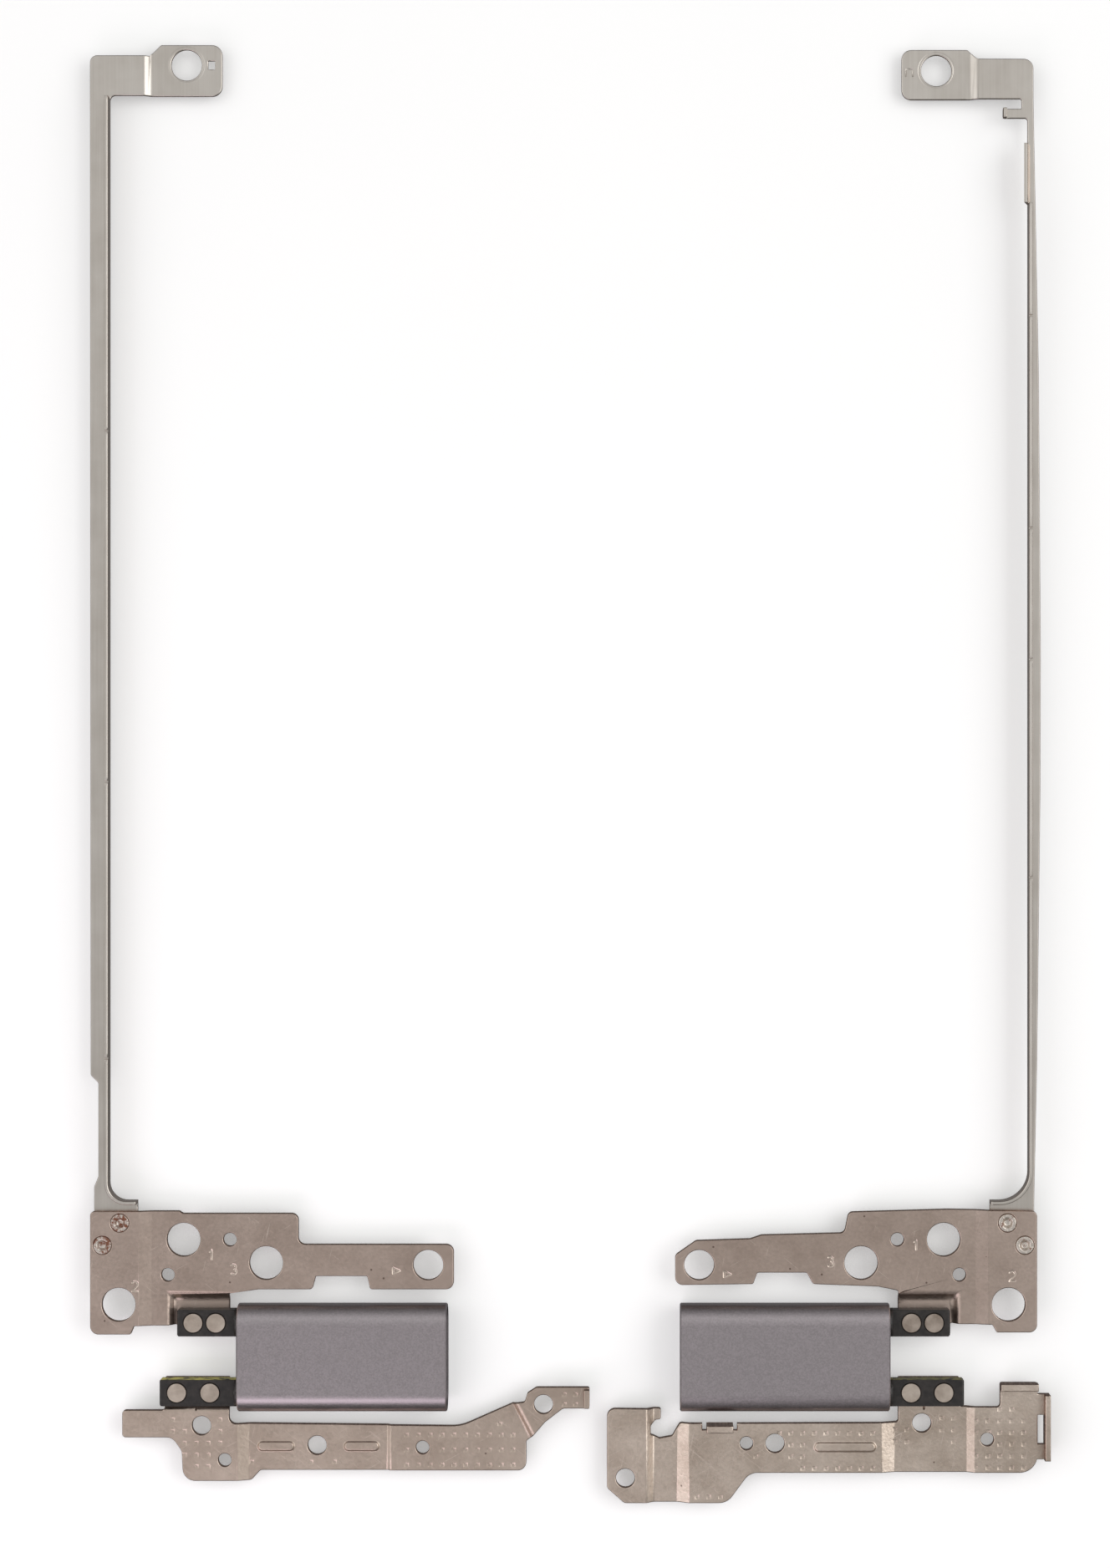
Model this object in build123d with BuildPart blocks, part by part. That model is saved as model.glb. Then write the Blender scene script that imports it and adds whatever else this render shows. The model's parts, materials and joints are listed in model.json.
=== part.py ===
from build123d import *
import math
import os

# A pair of geared laptop hinges, laid flat and opened to 180 degrees.
# X runs along the hinge axes, Y from the base side to the screen side and Z up from the table.
# Plan places are given for one hinge as (inward, up): inward from the outer end of its sleeve
# towards the other hinge, and up from the axis of the shaft that the piece belongs to.

# Where the two hinges lie
PAIR_SPAN = 93.4  # between the outer ends of the two sleeves
LEFT_REACH = 21.4  # left arm's outer edge from its sleeve's end
RIGHT_REACH = 23.1  # right base bracket's side flange from its sleeve's end
ARM_REACH = 183.6  # top of the left arm over the display axis
BASE_DEPTH = 16.1  # bottom of the right base bracket under the base axis

# Sleeve and shaft lines
SLEEVE_LENGTH = 30.0
SLEEVE_THICKNESS = 5.5
SLEEVE_WALL = 0.5
SLEEVE_RIM = 0.15
AXIS_SPACING = 10.0
CAP_DEPTH = 3.0
CAP_RECESS = 0.3

# Shafts
BAR_HEIGHT = 3.84
BAR_THICKNESS = 1.8
BAR_EDGE = 0.2
DISPLAY_BAR_LENGTH = 8.7
BASE_BAR_LENGTH = {"left": 11.2, "right": 10.7}
COLLAR_RADIUS = 2.05
COLLAR_OUT = 0.45  # how far the collar stands out of the sleeve
COLLAR_IN = 0.5
JOURNAL_RADIUS = 1.5
SPIGOT_RADIUS = 1.0
SPIGOT_FLATS = 1.5  # across the two flats that key gears and washers
THREAD_END = 0.7  # spigot past the nut

# Rivets through the flats
RIVET_RADIUS = 1.33
RIVET_HEAD_RADIUS = 1.55
RIVET_HEAD_THICKNESS = 0.45
RIVET_RING = 0.2  # countersink around the flush end
DISPLAY_RIVETS = (3.15, 6.4)  # out from the sleeve's end
BASE_RIVETS = {"left": (4.0, 8.75), "right": (3.1, 7.8)}

# Gear train: two shaft gears and two equal idlers on one line
GEAR_TEETH = 10
GEAR_WIDTH = 3.5
GEAR_ADDENDUM = 0.26
GEAR_DEDENDUM = 0.367
GEAR_BACKLASH = 0.06
PRESSURE_ANGLE = math.radians(20)
IDLER_PIN_RADIUS = 0.7

# Bearing plates, friction pack, springs and nuts
FRONT_PLATE = 2.0
REAR_PLATE = 1.5
WASHER_RADIUS = 2.1
WASHER_THICKNESS = 0.6
FRICTION_PLATE = 1.2
FRICTION_PLATE_COUNT = 4
SPRING_RADIUS = 2.0
SPRING_THICKNESS = 0.3
SPRING_CONE = 0.35
SPRING_COUNT = 4
NUT_FLATS = 3.6
NUT_THICKNESS = 2.4

# Clearances
RUNNING = 0.03  # radial, turning fits
SEAT = 0.02  # radial, pieces that stay still
FACE_GAP = 0.05  # along the axis, between pieces that turn past each other

# Sheet brackets and screen arms
PLATE = 1.0
ARM_SHEET = 0.5
BEND_RADIUS = 0.4
STEP_LEAN = 40.0  # lean of the walls where a sheet steps, in degrees
SHELF_BORDER = 1.35  # mouth of the shelf past the end of the shaft's flat
SHELF_TOP = 2.25  # mouth of the shelf past the side of the shaft's flat
SHELF_GAP = 1.4  # shelf and tab from the sleeve's end
SHELF_PAST = 0.2  # shelf past the end of the shaft's flat
TAB_SHORT = 0.5  # tab's end from the end of the shaft's flat

# Display brackets: places as (inward, up), the same on both hinges
BOSS_HOLE_RADIUS = 2.4
BOSS_HOLES = [(-7.85, 11.85), (-17.1, 2.6), (4.0, 8.5)]
TIP_HOLE_RADIUS = 2.15
TIP_HOLE = (27.25, 8.2)
PIN_HOLE_RADIUS = 0.95
DISPLAY_PIN_HOLES = [(-1.2, 11.85), (-10.1, 6.8)]
CLINCH_RADIUS = 1.3
CLINCH_PROUD = 0.08
CLINCH_DIMPLE = 0.8
CLINCH_DIMPLE_DEPTH = 0.45
CLINCHES = [(-16.95, 14.3), (-19.45, 11.1)]
BRACKET_OUTER = -21.2
RAISE_RAMP = (-14.2, -12.4)  # where the bracket rises over the arm's foot

# Base brackets
BASE_HOLE_RADIUS = 1.36
LEFT_BASE_HOLES = [(-5.35, -4.95), (11.2, -7.9), (43.8, -1.8)]
LEFT_BASE_PIN_HOLES = [(-2.0, -9.9), (26.4, -8.15)]
RIGHT_BASE_HOLES = [(-4.8, -4.7), (16.35, -7.5), (37.85, -12.5)]
RIGHT_BASE_PIN_HOLES = [(20.45, -7.5), (-14.15, -6.95)]
BASE_RAISE = 0.6  # outer plates over the tab under the shaft
LEFT_TAB_UP = -2.6  # where the left bracket steps down to the tab under its shaft
BEADED_RAMP = (-0.2, 1.5)  # where the left bracket steps down to its beaded plate
INNER_STEP = (21.3, 21.8)  # where it rises to its inner plate
BASE_MID_RAISE = 0.35  # inner plate over the beaded plate
END_STEP = [(35.0, 6.5), (46.5, -15.4)]  # bend line of the left bracket's end tab
BASE_TAB_RAISE = 0.7  # end tab over the inner plate
END_TAB_INNER = 50.4
END_TAB_UP = (-2.4, 0.65)  # lower and upper edge of the end tab
LIP_HEIGHT = 1.2  # turned-up end over the end tab
LIP_SHEET = 0.8
RIGHT_TAB_RAMPS = [(-12.4, -11.2), (-0.9, 1.0)]  # down to the tab under the shaft, and up again
CHANNEL_RAMPS = [(28.7, 30.4), (33.8, 34.8)]  # down to the right bracket's channel, and up again
CHANNEL_DROP = 0.25  # channel under the tab
SIDE_GAP = 0.9  # window between the right bracket's side flange and its plate
HEM_TOP = 1.2  # turned-up upper edge of the right bracket's outer plate
HEM_INNER = -16.0
HEM_HEIGHT = 1.3
SIDE_FLANGE = (-9.8, -0.4)  # lower and upper end of the right bracket's side flange
SIDE_FLANGE_HEIGHT = 1.4
SIDE_WINDOW = (-7.6, -3.4)  # lower and upper end of that window
STOP_TAB = (22.4, 26.2)  # turned-up tab on the right bracket's upper edge
STOP_TAB_UP = -4.6
STOP_TAB_HEIGHT = 2.2
RELIEF = 0.6  # notches beside a bent tab
BEAD_WIDTH = 1.5
BEAD_HEIGHT = 0.3
LEFT_BEADS = [(5.3, -8.0, 5.4), (17.6, -8.0, 5.2)]  # middle inward, up, and length
RIGHT_BEADS = [(6.3, -8.0, 9.0)]

# Screen arms: places near the top are measured down from ARM_REACH
ARM_HOLE_RADIUS = 2.2
LEFT_ARM_HOLE = (-7.6, ARM_REACH - 2.9)
LEFT_ARM_SLOT = (-4.0, ARM_REACH - 2.9)  # small square hole beside the round one
LEFT_ARM_SLOT_SIZE = (1.0, 1.2)
RIGHT_ARM_HOLE = (-6.9, ARM_REACH - 3.7)
LEFT_TAB_BEND = -13.65
RIGHT_TAB_BEND = -12.75
ARM_TAB_DROP = 0.6
ARM_TAB_LEAN = 60.0
FLANGE_HEIGHT = 2.4
LEFT_TOP_CORNER = ARM_REACH - 1.6  # top of the left arm beside its tab
LEFT_TOP_LOW = ARM_REACH - 7.4  # lower edge of the left arm's top piece
LEFT_FLANGE_TOP = ARM_REACH - 7.8
RIGHT_FLANGE_TOP = ARM_REACH - 23.1
RIGHT_LEAN_TOP = ARM_REACH - 14.6  # upper end of the right flange's leaning stretch
RIGHT_LEAN = 0.75  # how far that stretch leans inward
RIGHT_ARM_OUTER = -20.8
RIGHT_TAB_TOP = ARM_REACH - 0.7
RIGHT_TOP_CORNER = ARM_REACH - 2.1  # top of the right arm beside its tab
RIGHT_TOP_LOW = ARM_REACH - 7.9  # lower edge of the right arm's top piece
HOOK_INNER = -16.4
HOOK_UP = (ARM_REACH - 10.7, ARM_REACH - 9.3)  # lower and upper edge of the right arm's hook
HOOK_HEIGHT = 1.2  # turned-up end of the hook
HOOK_ROOT = -19.1
FOOT_BOTTOM = 9.0
FOOT_INNER = -14.5
NICK_WIDTH = 0.25
NICK_DEPTH = 0.3
LEFT_NICKS = [127.8, 77.6, 38.0]
RIGHT_NICKS = [144.3, 113.9, 95.1, 63.9]

# Derived places
SIDES = ("left", "right")
PAIR_SHIFT = (LEFT_REACH - RIGHT_REACH) / 2
OUTER_END = {"left": PAIR_SHIFT - PAIR_SPAN / 2, "right": PAIR_SHIFT + PAIR_SPAN / 2}
DISPLAY_AXIS_Y = (BASE_DEPTH + AXIS_SPACING - ARM_REACH) / 2
BASE_AXIS_Y = DISPLAY_AXIS_Y - AXIS_SPACING
AXIS_Z = SLEEVE_THICKNESS / 2
BAR_BOTTOM = AXIS_Z - BAR_THICKNESS / 2
BAR_TOP = BAR_BOTTOM + BAR_THICKNESS
HALF_BAR = BAR_HEIGHT / 2
SHELF_BOTTOM = BAR_BOTTOM - PLATE
BASE_PLATE_BOTTOM = SHELF_BOTTOM + BASE_RAISE
BRACKET_BOTTOM = BAR_BOTTOM
ARM_BOTTOM = BRACKET_BOTTOM
RAISED_BOTTOM = ARM_BOTTOM + ARM_SHEET
INNER_RADIUS = SLEEVE_THICKNESS / 2 - SLEEVE_WALL
PITCH_RADIUS = AXIS_SPACING / 6
GEAR_Y = [BASE_AXIS_Y + 2 * PITCH_RADIUS * place for place in range(4)]
TALL = 4 * SLEEVE_THICKNESS  # more than the height of any sheet piece
DEEP = 60.0  # more than the depth of any bracket
MARGIN = 4.0  # how far cutting shapes reach past a sheet's edges

# Places along the shafts, inward from the sleeve's outer end
FRONT_AT = COLLAR_IN + FACE_GAP
GEAR_AT = FRONT_AT + FRONT_PLATE + FACE_GAP
REAR_AT = GEAR_AT + GEAR_WIDTH + FACE_GAP
PACK_AT = REAR_AT + REAR_PLATE + FACE_GAP
PACK_PITCH = WASHER_THICKNESS + FRICTION_PLATE + 2 * FACE_GAP
WASHERS_AT = [PACK_AT + PACK_PITCH * place for place in range(FRICTION_PLATE_COUNT + 1)]
SPRINGS_AT = WASHERS_AT[-1] + WASHER_THICKNESS + FACE_GAP
SPRING_PITCH = SPRING_THICKNESS + SPRING_CONE + FACE_GAP
END_WASHER_AT = SPRINGS_AT + SPRING_COUNT * SPRING_PITCH
NUT_AT = END_WASHER_AT + WASHER_THICKNESS + FACE_GAP
SHAFT_END = NUT_AT + NUT_THICKNESS + THREAD_END

# Bracket outlines as (inward, up, corner radius)
RIGHT_BASE_OUTER = SIDE_GAP + LIP_SHEET - RIGHT_REACH
SHELF_OUT = -DISPLAY_BAR_LENGTH - SHELF_PAST
DISPLAY_OUTLINE = {
    "left": [
        (BRACKET_OUTER, 15.95, 0.6),
        (-8.5, 15.95, 0.3),
        (-8.0, 15.6, 0.3),
        (8.6, 15.6, 1.0),
        (8.6, 11.15, 1.0),
        (30.9, 11.15, 1.1),
        (30.9, 4.7, 1.1),
        (18.9, 4.7, 0.4),
        (18.5, 6.6, 0.3),
        (11.1, 6.6, 0.3),
        (10.6, 4.7, 0.5),
        (2.9, 4.7, 0.8),
        (-SHELF_GAP, 4.1, 0.4),
        (-SHELF_GAP, -HALF_BAR, 0.2),
        (SHELF_OUT, -HALF_BAR, 0.2),
        (SHELF_OUT, -0.5, 0.2),
        (-14.9, -0.5, 0.3),
        (-15.4, -1.7, 0.3),
        (BRACKET_OUTER, -1.7, 1.2),
    ],
    "right": [
        (BRACKET_OUTER, 16.0, 0.8),
        (-8.4, 16.2, 0),
        (5.8, 15.8, 0.8),
        (6.4, 12.8, 0.8),
        (18.3, 12.5, 0.8),
        (19.9, 11.95, 0.8),
        (27.7, 11.7, 0.8),
        (30.7, 9.6, 0.8),
        (30.7, 5.3, 1.1),
        (19.5, 5.45, 0.4),
        (18.9, 7.1, 0.3),
        (11.8, 7.1, 0.3),
        (10.9, 5.45, 0.5),
        (1.6, 5.1, 0.8),
        (-SHELF_GAP, 4.5, 0.4),
        (-SHELF_GAP, -HALF_BAR, 0.2),
        (SHELF_OUT, -HALF_BAR, 0.2),
        (SHELF_OUT, -0.3, 0.2),
        (-14.8, -0.3, 0.3),
        (-15.4, -1.4, 0.3),
        (BRACKET_OUTER, -1.4, 1.1),
    ],
}
LEFT_BASE_OUTLINE = [
    (-16.75, -2.75, 0.5),
    (TAB_SHORT - BASE_BAR_LENGTH["left"], -2.75, 0.4),
    (TAB_SHORT - BASE_BAR_LENGTH["left"], HALF_BAR, 0.2),
    (-SHELF_GAP, HALF_BAR, 0.2),
    (-SHELF_GAP, -4.7, 1.0),
    (31.9, -5.05, 6.0),
    (39.4, -1.75, 0.5),
    (41.1, -1.5, 0.4),
    (41.5, -0.2, 0.4),
    (42.8, END_TAB_UP[1], 0.6),
    (END_TAB_INNER, END_TAB_UP[1], 0.3),
    (END_TAB_INNER, END_TAB_UP[0], 0.3),
    (46.6, END_TAB_UP[0], 1.0),
    (44.0, -4.4, 1.0),
    (42.1, -6.6, 0.6),
    (41.3, -7.2, 0.5),
    (41.3, -11.45, 1.2),
    (3.05, -11.45, 0.6),
    (1.75, -12.9, 0.8),
    (-8.0, -12.9, 1.8),
    (-8.2, -8.6, 1.6),
    (-9.6, -6.65, 1.6),
    (-16.75, -6.65, 0.5),
]
RIGHT_BASE_OUTLINE = [
    (RIGHT_BASE_OUTER, HEM_TOP, 0.3),
    (HEM_INNER, HEM_TOP, 0.3),
    (HEM_INNER, -2.3, 0.5),
    (TAB_SHORT - BASE_BAR_LENGTH["right"], -2.3, 0.3),
    (TAB_SHORT - BASE_BAR_LENGTH["right"], HALF_BAR, 0.2),
    (-SHELF_GAP, HALF_BAR, 0.2),
    (-SHELF_GAP, -4.55, 0.4),
    (30.0, -4.65, 0.6),
    (31.1, -6.6, 0.4),
    (32.95, -6.95, 0.3),
    (34.2, -6.35, 0.3),
    (34.2, -5.1, 0.5),
    (33.5, -4.3, 0.3),
    (32.75, -4.2, 0.3),
    (32.75, -2.6, 0.3),
    (40.5, -2.5, 1.2),
    (40.5, -13.9, 0.9),
    (38.0, -BASE_DEPTH, 0.9),
    (23.2, -BASE_DEPTH, 2.4),
    (20.0, -11.75, 2.2),
    (RIGHT_BASE_OUTER, -11.75, 2.6),
]
LEFT_ARM_EDGE = -18.5  # inner edge of the strip
RIGHT_ARM_EDGE = -19.95
GUSSET_UP = 17.5  # edge of the arm's sheet over the bracket
GUSSET_RADIUS = {"left": 2.6, "right": 4.2}
LEFT_ARM_OUTLINE = [
    (-LEFT_REACH, LEFT_TOP_CORNER, 1.0),
    (-12.9, LEFT_TOP_CORNER, 0.3),
    (-11.3, ARM_REACH, 0.5),
    (-2.45, ARM_REACH, 1.5),
    (-2.45, LEFT_TOP_LOW, 1.5),
    (LEFT_ARM_EDGE, LEFT_TOP_LOW, 0.8),
    (LEFT_ARM_EDGE, GUSSET_UP, GUSSET_RADIUS["left"]),
    (FOOT_INNER, GUSSET_UP, 0.2),
    (FOOT_INNER, FOOT_BOTTOM, 0.5),
    (-20.8, FOOT_BOTTOM, 0.5),
    (-20.8, 19.4, 0.3),
    (-20.2, 20.8, 0.5),
    (-20.2, 34.3, 0.5),
    (-21.3, 35.4, 0.5),
]
RIGHT_ARM_OUTLINE = [
    (RIGHT_ARM_OUTER, RIGHT_TOP_CORNER, 1.4),
    (-12.7, RIGHT_TOP_CORNER, 0.3),
    (-11.4, RIGHT_TAB_TOP, 0.5),
    (-1.9, RIGHT_TAB_TOP, 1.4),
    (-1.9, RIGHT_TOP_LOW, 1.4),
    (HOOK_ROOT, RIGHT_TOP_LOW, 0.3),
    (HOOK_ROOT, HOOK_UP[1], 0.2),
    (HOOK_INNER, HOOK_UP[1], 0.2),
    (HOOK_INNER, HOOK_UP[0], 0.3),
    (RIGHT_ARM_EDGE, HOOK_UP[0], 0.4),
    (RIGHT_ARM_EDGE, GUSSET_UP, GUSSET_RADIUS["right"]),
    (FOOT_INNER, GUSSET_UP, 0.2),
    (FOOT_INNER, FOOT_BOTTOM, 0.5),
    (-20.9, FOOT_BOTTOM, 0.5),
    (-20.9, 17.0, 0),
]
RIGHT_ARM_BOW = (-21.85, 95.0)  # widest place of the right strip's outer edge

os.makedirs("parts", exist_ok=True)


def save(piece, name):
    """Labels a finished piece and writes it as its own STEP file."""
    piece.part.label = name
    export_step(piece.part, f"parts/{name}.step")


def across(side, inward):
    """X of a place on one hinge."""
    return OUTER_END[side] + (inward if side == "left" else -inward)


def plan(side, axis_y, places):
    """Plan points of one hinge from (inward, up) places."""
    return [(across(side, inward), axis_y + up) for inward, up in places]


def slice_plane(side, start, length):
    """Plane across the shafts from which a slice of that length is extruded along +X."""
    return Plane.YZ.offset(min(across(side, start), across(side, start + length)))


def draw_outline(sketch, side, axis_y, corners):
    """Rounded outline in the open sketch, from (inward, up, radius) corners."""
    places = plan(side, axis_y, [corner[:2] for corner in corners])
    Polygon(*places, align=None)
    for place, corner in zip(places, corners):
        if corner[2]:
            fillet(sketch.vertices().sort_by_distance(place)[0], corner[2])


def draw_section(sketch, side, levels, thickness):
    """Section of a joggled sheet in the open X-Z sketch, from (inward, underside) points."""
    under = [(across(side, inward), bottom) for inward, bottom in levels]
    upper = [(x, bottom + thickness) for x, bottom in reversed(under)]
    Polygon(*under, *upper, align=None)
    ends = (under[0][0], under[-1][0])
    bends = [v for v in sketch.vertices() if min(abs(v.X - end) for end in ends) > BEND_RADIUS]
    fillet(bends, BEND_RADIUS)


def step_sheet(points, bottom, thickness, step, lean=STEP_LEAN):
    """Steps the open part's sheet up or down by step inside a plan outline."""
    grown_from = bottom + thickness if step > 0 else bottom
    cut_from = bottom if step > 0 else bottom + thickness
    for start, mode in ((grown_from, Mode.ADD), (cut_from, Mode.SUBTRACT)):
        with BuildSketch(Plane.XY.offset(start)) as patch:
            Polygon(*points, align=None)
        extrude(patch.sketch, amount=step, taper=lean, mode=mode)


def stadium(radius, mode=Mode.ADD):
    """Section of the sleeve and its plates at a given end radius, in the open sketch."""
    with Locations(((BASE_AXIS_Y + DISPLAY_AXIS_Y) / 2, AXIS_Z)):
        SlotCenterToCenter(AXIS_SPACING, radius * 2, mode=mode)


def keyed_section(clearance):
    """Round section with two flats, as a sketch of its own."""
    with BuildSketch(mode=Mode.PRIVATE) as section:
        Circle(SPIGOT_RADIUS + clearance)
        Rectangle(4 * SPIGOT_RADIUS, SPIGOT_FLATS + 2 * clearance, mode=Mode.INTERSECT)
    return section.sketch


def make_sleeve(side):
    """Anodised sleeve round both shafts."""
    with BuildPart() as sleeve:
        with BuildSketch(slice_plane(side, 0, SLEEVE_LENGTH)):
            stadium(SLEEVE_THICKNESS / 2)
            stadium(INNER_RADIUS, Mode.SUBTRACT)
        extrude(amount=SLEEVE_LENGTH)
        ends = sleeve.faces().filter_by(Axis.X)
        chamfer([edge for end in ends for edge in end.outer_wire().edges()], SLEEVE_RIM)
    save(sleeve, f"{side}_sleeve")


def make_end_cap(side):
    """Black cap set a little into the sleeve's inner end."""
    start = SLEEVE_LENGTH - CAP_RECESS - CAP_DEPTH
    with BuildPart() as cap:
        with BuildSketch(slice_plane(side, start, CAP_DEPTH)):
            stadium(INNER_RADIUS - SEAT)
        extrude(amount=CAP_DEPTH)
        inner_ends = cap.faces().filter_by(Axis.X)
        chamfer([edge for end in inner_ends for edge in end.edges()], SLEEVE_RIM)
    save(cap, f"{side}_end_cap")


def make_bearing_plate(side, name, start, thickness, shaft_radius):
    """Plate across the sleeve with a bearing for each shaft and a hole for each idler pin."""
    with BuildPart() as plate:
        with BuildSketch(slice_plane(side, start, thickness)):
            stadium(INNER_RADIUS - SEAT)
            with Locations((BASE_AXIS_Y, AXIS_Z), (DISPLAY_AXIS_Y, AXIS_Z)):
                Circle(shaft_radius + RUNNING, mode=Mode.SUBTRACT)
            with Locations(*[(y, AXIS_Z) for y in GEAR_Y[1:3]]):
                Circle(IDLER_PIN_RADIUS + SEAT, mode=Mode.SUBTRACT)
        extrude(amount=thickness)
    save(plate, f"{side}_{name}")


def make_idler_pins(side):
    """Two pins held in both bearing plates."""
    length = REAR_AT + REAR_PLATE - FRONT_AT
    with BuildPart() as pins:
        with BuildSketch(slice_plane(side, FRONT_AT, length)):
            with Locations(*[(y, AXIS_Z) for y in GEAR_Y[1:3]]):
                Circle(IDLER_PIN_RADIUS)
        extrude(amount=length)
    save(pins, f"{side}_idler_pins")


def tooth_half_angle(radius):
    """Half of the angle that an involute tooth spans at a radius."""
    flank = math.acos(PITCH_RADIUS * math.cos(PRESSURE_ANGLE) / radius)
    involutes = math.tan(PRESSURE_ANGLE) - PRESSURE_ANGLE - math.tan(flank) + flank
    return math.pi / (2 * GEAR_TEETH) - GEAR_BACKLASH / (2 * PITCH_RADIUS) + involutes


def flank_point(radius, half, hand):
    """Point of a tooth's flank on one hand of its middle line."""
    return (radius * math.cos(half), hand * radius * math.sin(half))


def tooth_section():
    """One tooth along +X as a sketch of its own."""
    base = PITCH_RADIUS * math.cos(PRESSURE_ANGLE)
    tip = PITCH_RADIUS + GEAR_ADDENDUM
    inside = PITCH_RADIUS - 2 * GEAR_DEDENDUM
    foot = tooth_half_angle(base)
    with BuildSketch(mode=Mode.PRIVATE) as tooth:
        with BuildLine():
            for hand in (-1, 1):
                Line(flank_point(inside, foot, hand), flank_point(base, foot, hand))
                flank = [
                    flank_point(radius, tooth_half_angle(radius), hand)
                    for radius in (base, (base + tip) / 2, tip)
                ]
                ThreePointArc(*flank)
            top = tooth_half_angle(tip)
            Line(flank_point(tip, top, -1), flank_point(tip, top, 1))
            Line(flank_point(inside, foot, -1), flank_point(inside, foot, 1))
        make_face()
    return tooth.sketch


def make_gear(side, name, place):
    """Spur gear at a place of the train: 0 and 3 are keyed to shafts, 1 and 2 turn on pins."""
    tooth = tooth_section()
    half_pitch = 180 / GEAR_TEETH
    with BuildPart() as gear:
        with BuildSketch(slice_plane(side, GEAR_AT, GEAR_WIDTH)):
            with Locations((GEAR_Y[place], AXIS_Z)):
                Circle(PITCH_RADIUS - GEAR_DEDENDUM)
                with PolarLocations(0, GEAR_TEETH, start_angle=half_pitch * (place % 2)):
                    add(tooth)
                if place in (0, 3):
                    add(keyed_section(SEAT), mode=Mode.SUBTRACT)
                else:
                    Circle(IDLER_PIN_RADIUS + RUNNING, mode=Mode.SUBTRACT)
        extrude(amount=GEAR_WIDTH)
    save(gear, f"{side}_{name}")


def make_shaft(side, name, axis_y, bar_length, rivets):
    """Black shaft: riveted flat, collar, journal and keyed spigot."""
    turned = [
        (-COLLAR_OUT, COLLAR_IN, COLLAR_RADIUS),
        (COLLAR_IN, FRONT_AT + FRONT_PLATE, JOURNAL_RADIUS),
    ]
    spigot_at = FRONT_AT + FRONT_PLATE
    with BuildPart() as shaft:
        with BuildSketch(slice_plane(side, -bar_length, bar_length)):
            with Locations((axis_y, AXIS_Z)):
                Rectangle(BAR_HEIGHT, BAR_THICKNESS)
        extrude(amount=bar_length)
        outer_end = shaft.faces().filter_by(Axis.X).sort_by(Axis.X, reverse=side == "right")[0]
        chamfer(outer_end.edges(), BAR_EDGE)
        for start, end, radius in turned:
            with BuildSketch(slice_plane(side, start, end - start)):
                with Locations((axis_y, AXIS_Z)):
                    Circle(radius)
            extrude(amount=end - start)
        with BuildSketch(slice_plane(side, spigot_at, SHAFT_END - spigot_at)):
            with Locations((axis_y, AXIS_Z)):
                add(keyed_section(0))
        extrude(amount=SHAFT_END - spigot_at)
        with Locations(*[(across(side, -out), axis_y, BAR_TOP) for out in rivets]):
            CounterSinkHole(
                RIVET_RADIUS + SEAT,
                RIVET_RADIUS + RIVET_RING,
                depth=BAR_THICKNESS,
                counter_sink_angle=90,
            )
    save(shaft, f"{side}_{name}")


def make_rivets(side, name, axis_y, rivets):
    """Two rivets, flush on the shaft's flat and headed under the sheet."""
    places = plan(side, axis_y, [(-out, 0) for out in rivets])
    with BuildPart() as pair:
        with BuildSketch(Plane.XY.offset(SHELF_BOTTOM)):
            with Locations(*places):
                Circle(RIVET_RADIUS)
        extrude(amount=BAR_TOP - SHELF_BOTTOM)
        with BuildSketch(Plane.XY.offset(SHELF_BOTTOM - RIVET_HEAD_THICKNESS)):
            with Locations(*places):
                Circle(RIVET_HEAD_RADIUS)
        extrude(amount=RIVET_HEAD_THICKNESS)
        chamfer(pair.edges().group_by(Axis.Z)[0], RIVET_HEAD_THICKNESS / 2)
    save(pair, f"{side}_{name}")


def make_friction_plates(side):
    """Plates that both shafts pass through and that the sleeve holds still."""
    with BuildPart() as plates:
        for washer_at in WASHERS_AT[:-1]:
            start = washer_at + WASHER_THICKNESS + FACE_GAP
            with BuildSketch(slice_plane(side, start, FRICTION_PLATE)):
                stadium(INNER_RADIUS - SEAT)
                with Locations((BASE_AXIS_Y, AXIS_Z), (DISPLAY_AXIS_Y, AXIS_Z)):
                    Circle(SPIGOT_RADIUS + RUNNING, mode=Mode.SUBTRACT)
            extrude(amount=FRICTION_PLATE)
    save(plates, f"{side}_friction_plates")


def make_washers(side, name, axis_y):
    """Washers keyed to one shaft, in the friction pack and under the nut."""
    with BuildPart() as washers:
        for start in [*WASHERS_AT, END_WASHER_AT]:
            with BuildSketch(slice_plane(side, start, WASHER_THICKNESS)):
                with Locations((axis_y, AXIS_Z)):
                    Circle(WASHER_RADIUS)
                    add(keyed_section(SEAT), mode=Mode.SUBTRACT)
            extrude(amount=WASHER_THICKNESS)
    save(washers, f"{side}_{name}")


def make_springs(side, name, axis_y):
    """Disc springs stacked face to face on one shaft."""
    bore = SPIGOT_RADIUS + RUNNING
    with BuildPart() as springs:
        for place in range(SPRING_COUNT):
            near = SPRINGS_AT + place * SPRING_PITCH
            lean_in = SPRING_CONE * (place % 2)
            lean_out = SPRING_CONE - lean_in
            section = [
                (near + lean_in, bore),
                (near + lean_in + SPRING_THICKNESS, bore),
                (near + lean_out + SPRING_THICKNESS, SPRING_RADIUS),
                (near + lean_out, SPRING_RADIUS),
            ]
            with BuildSketch(Plane.XY.offset(AXIS_Z)):
                Polygon(*plan(side, axis_y, section), align=None)
            revolve(axis=Axis((0, axis_y, AXIS_Z), (1, 0, 0)))
    save(springs, f"{side}_{name}")


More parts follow.
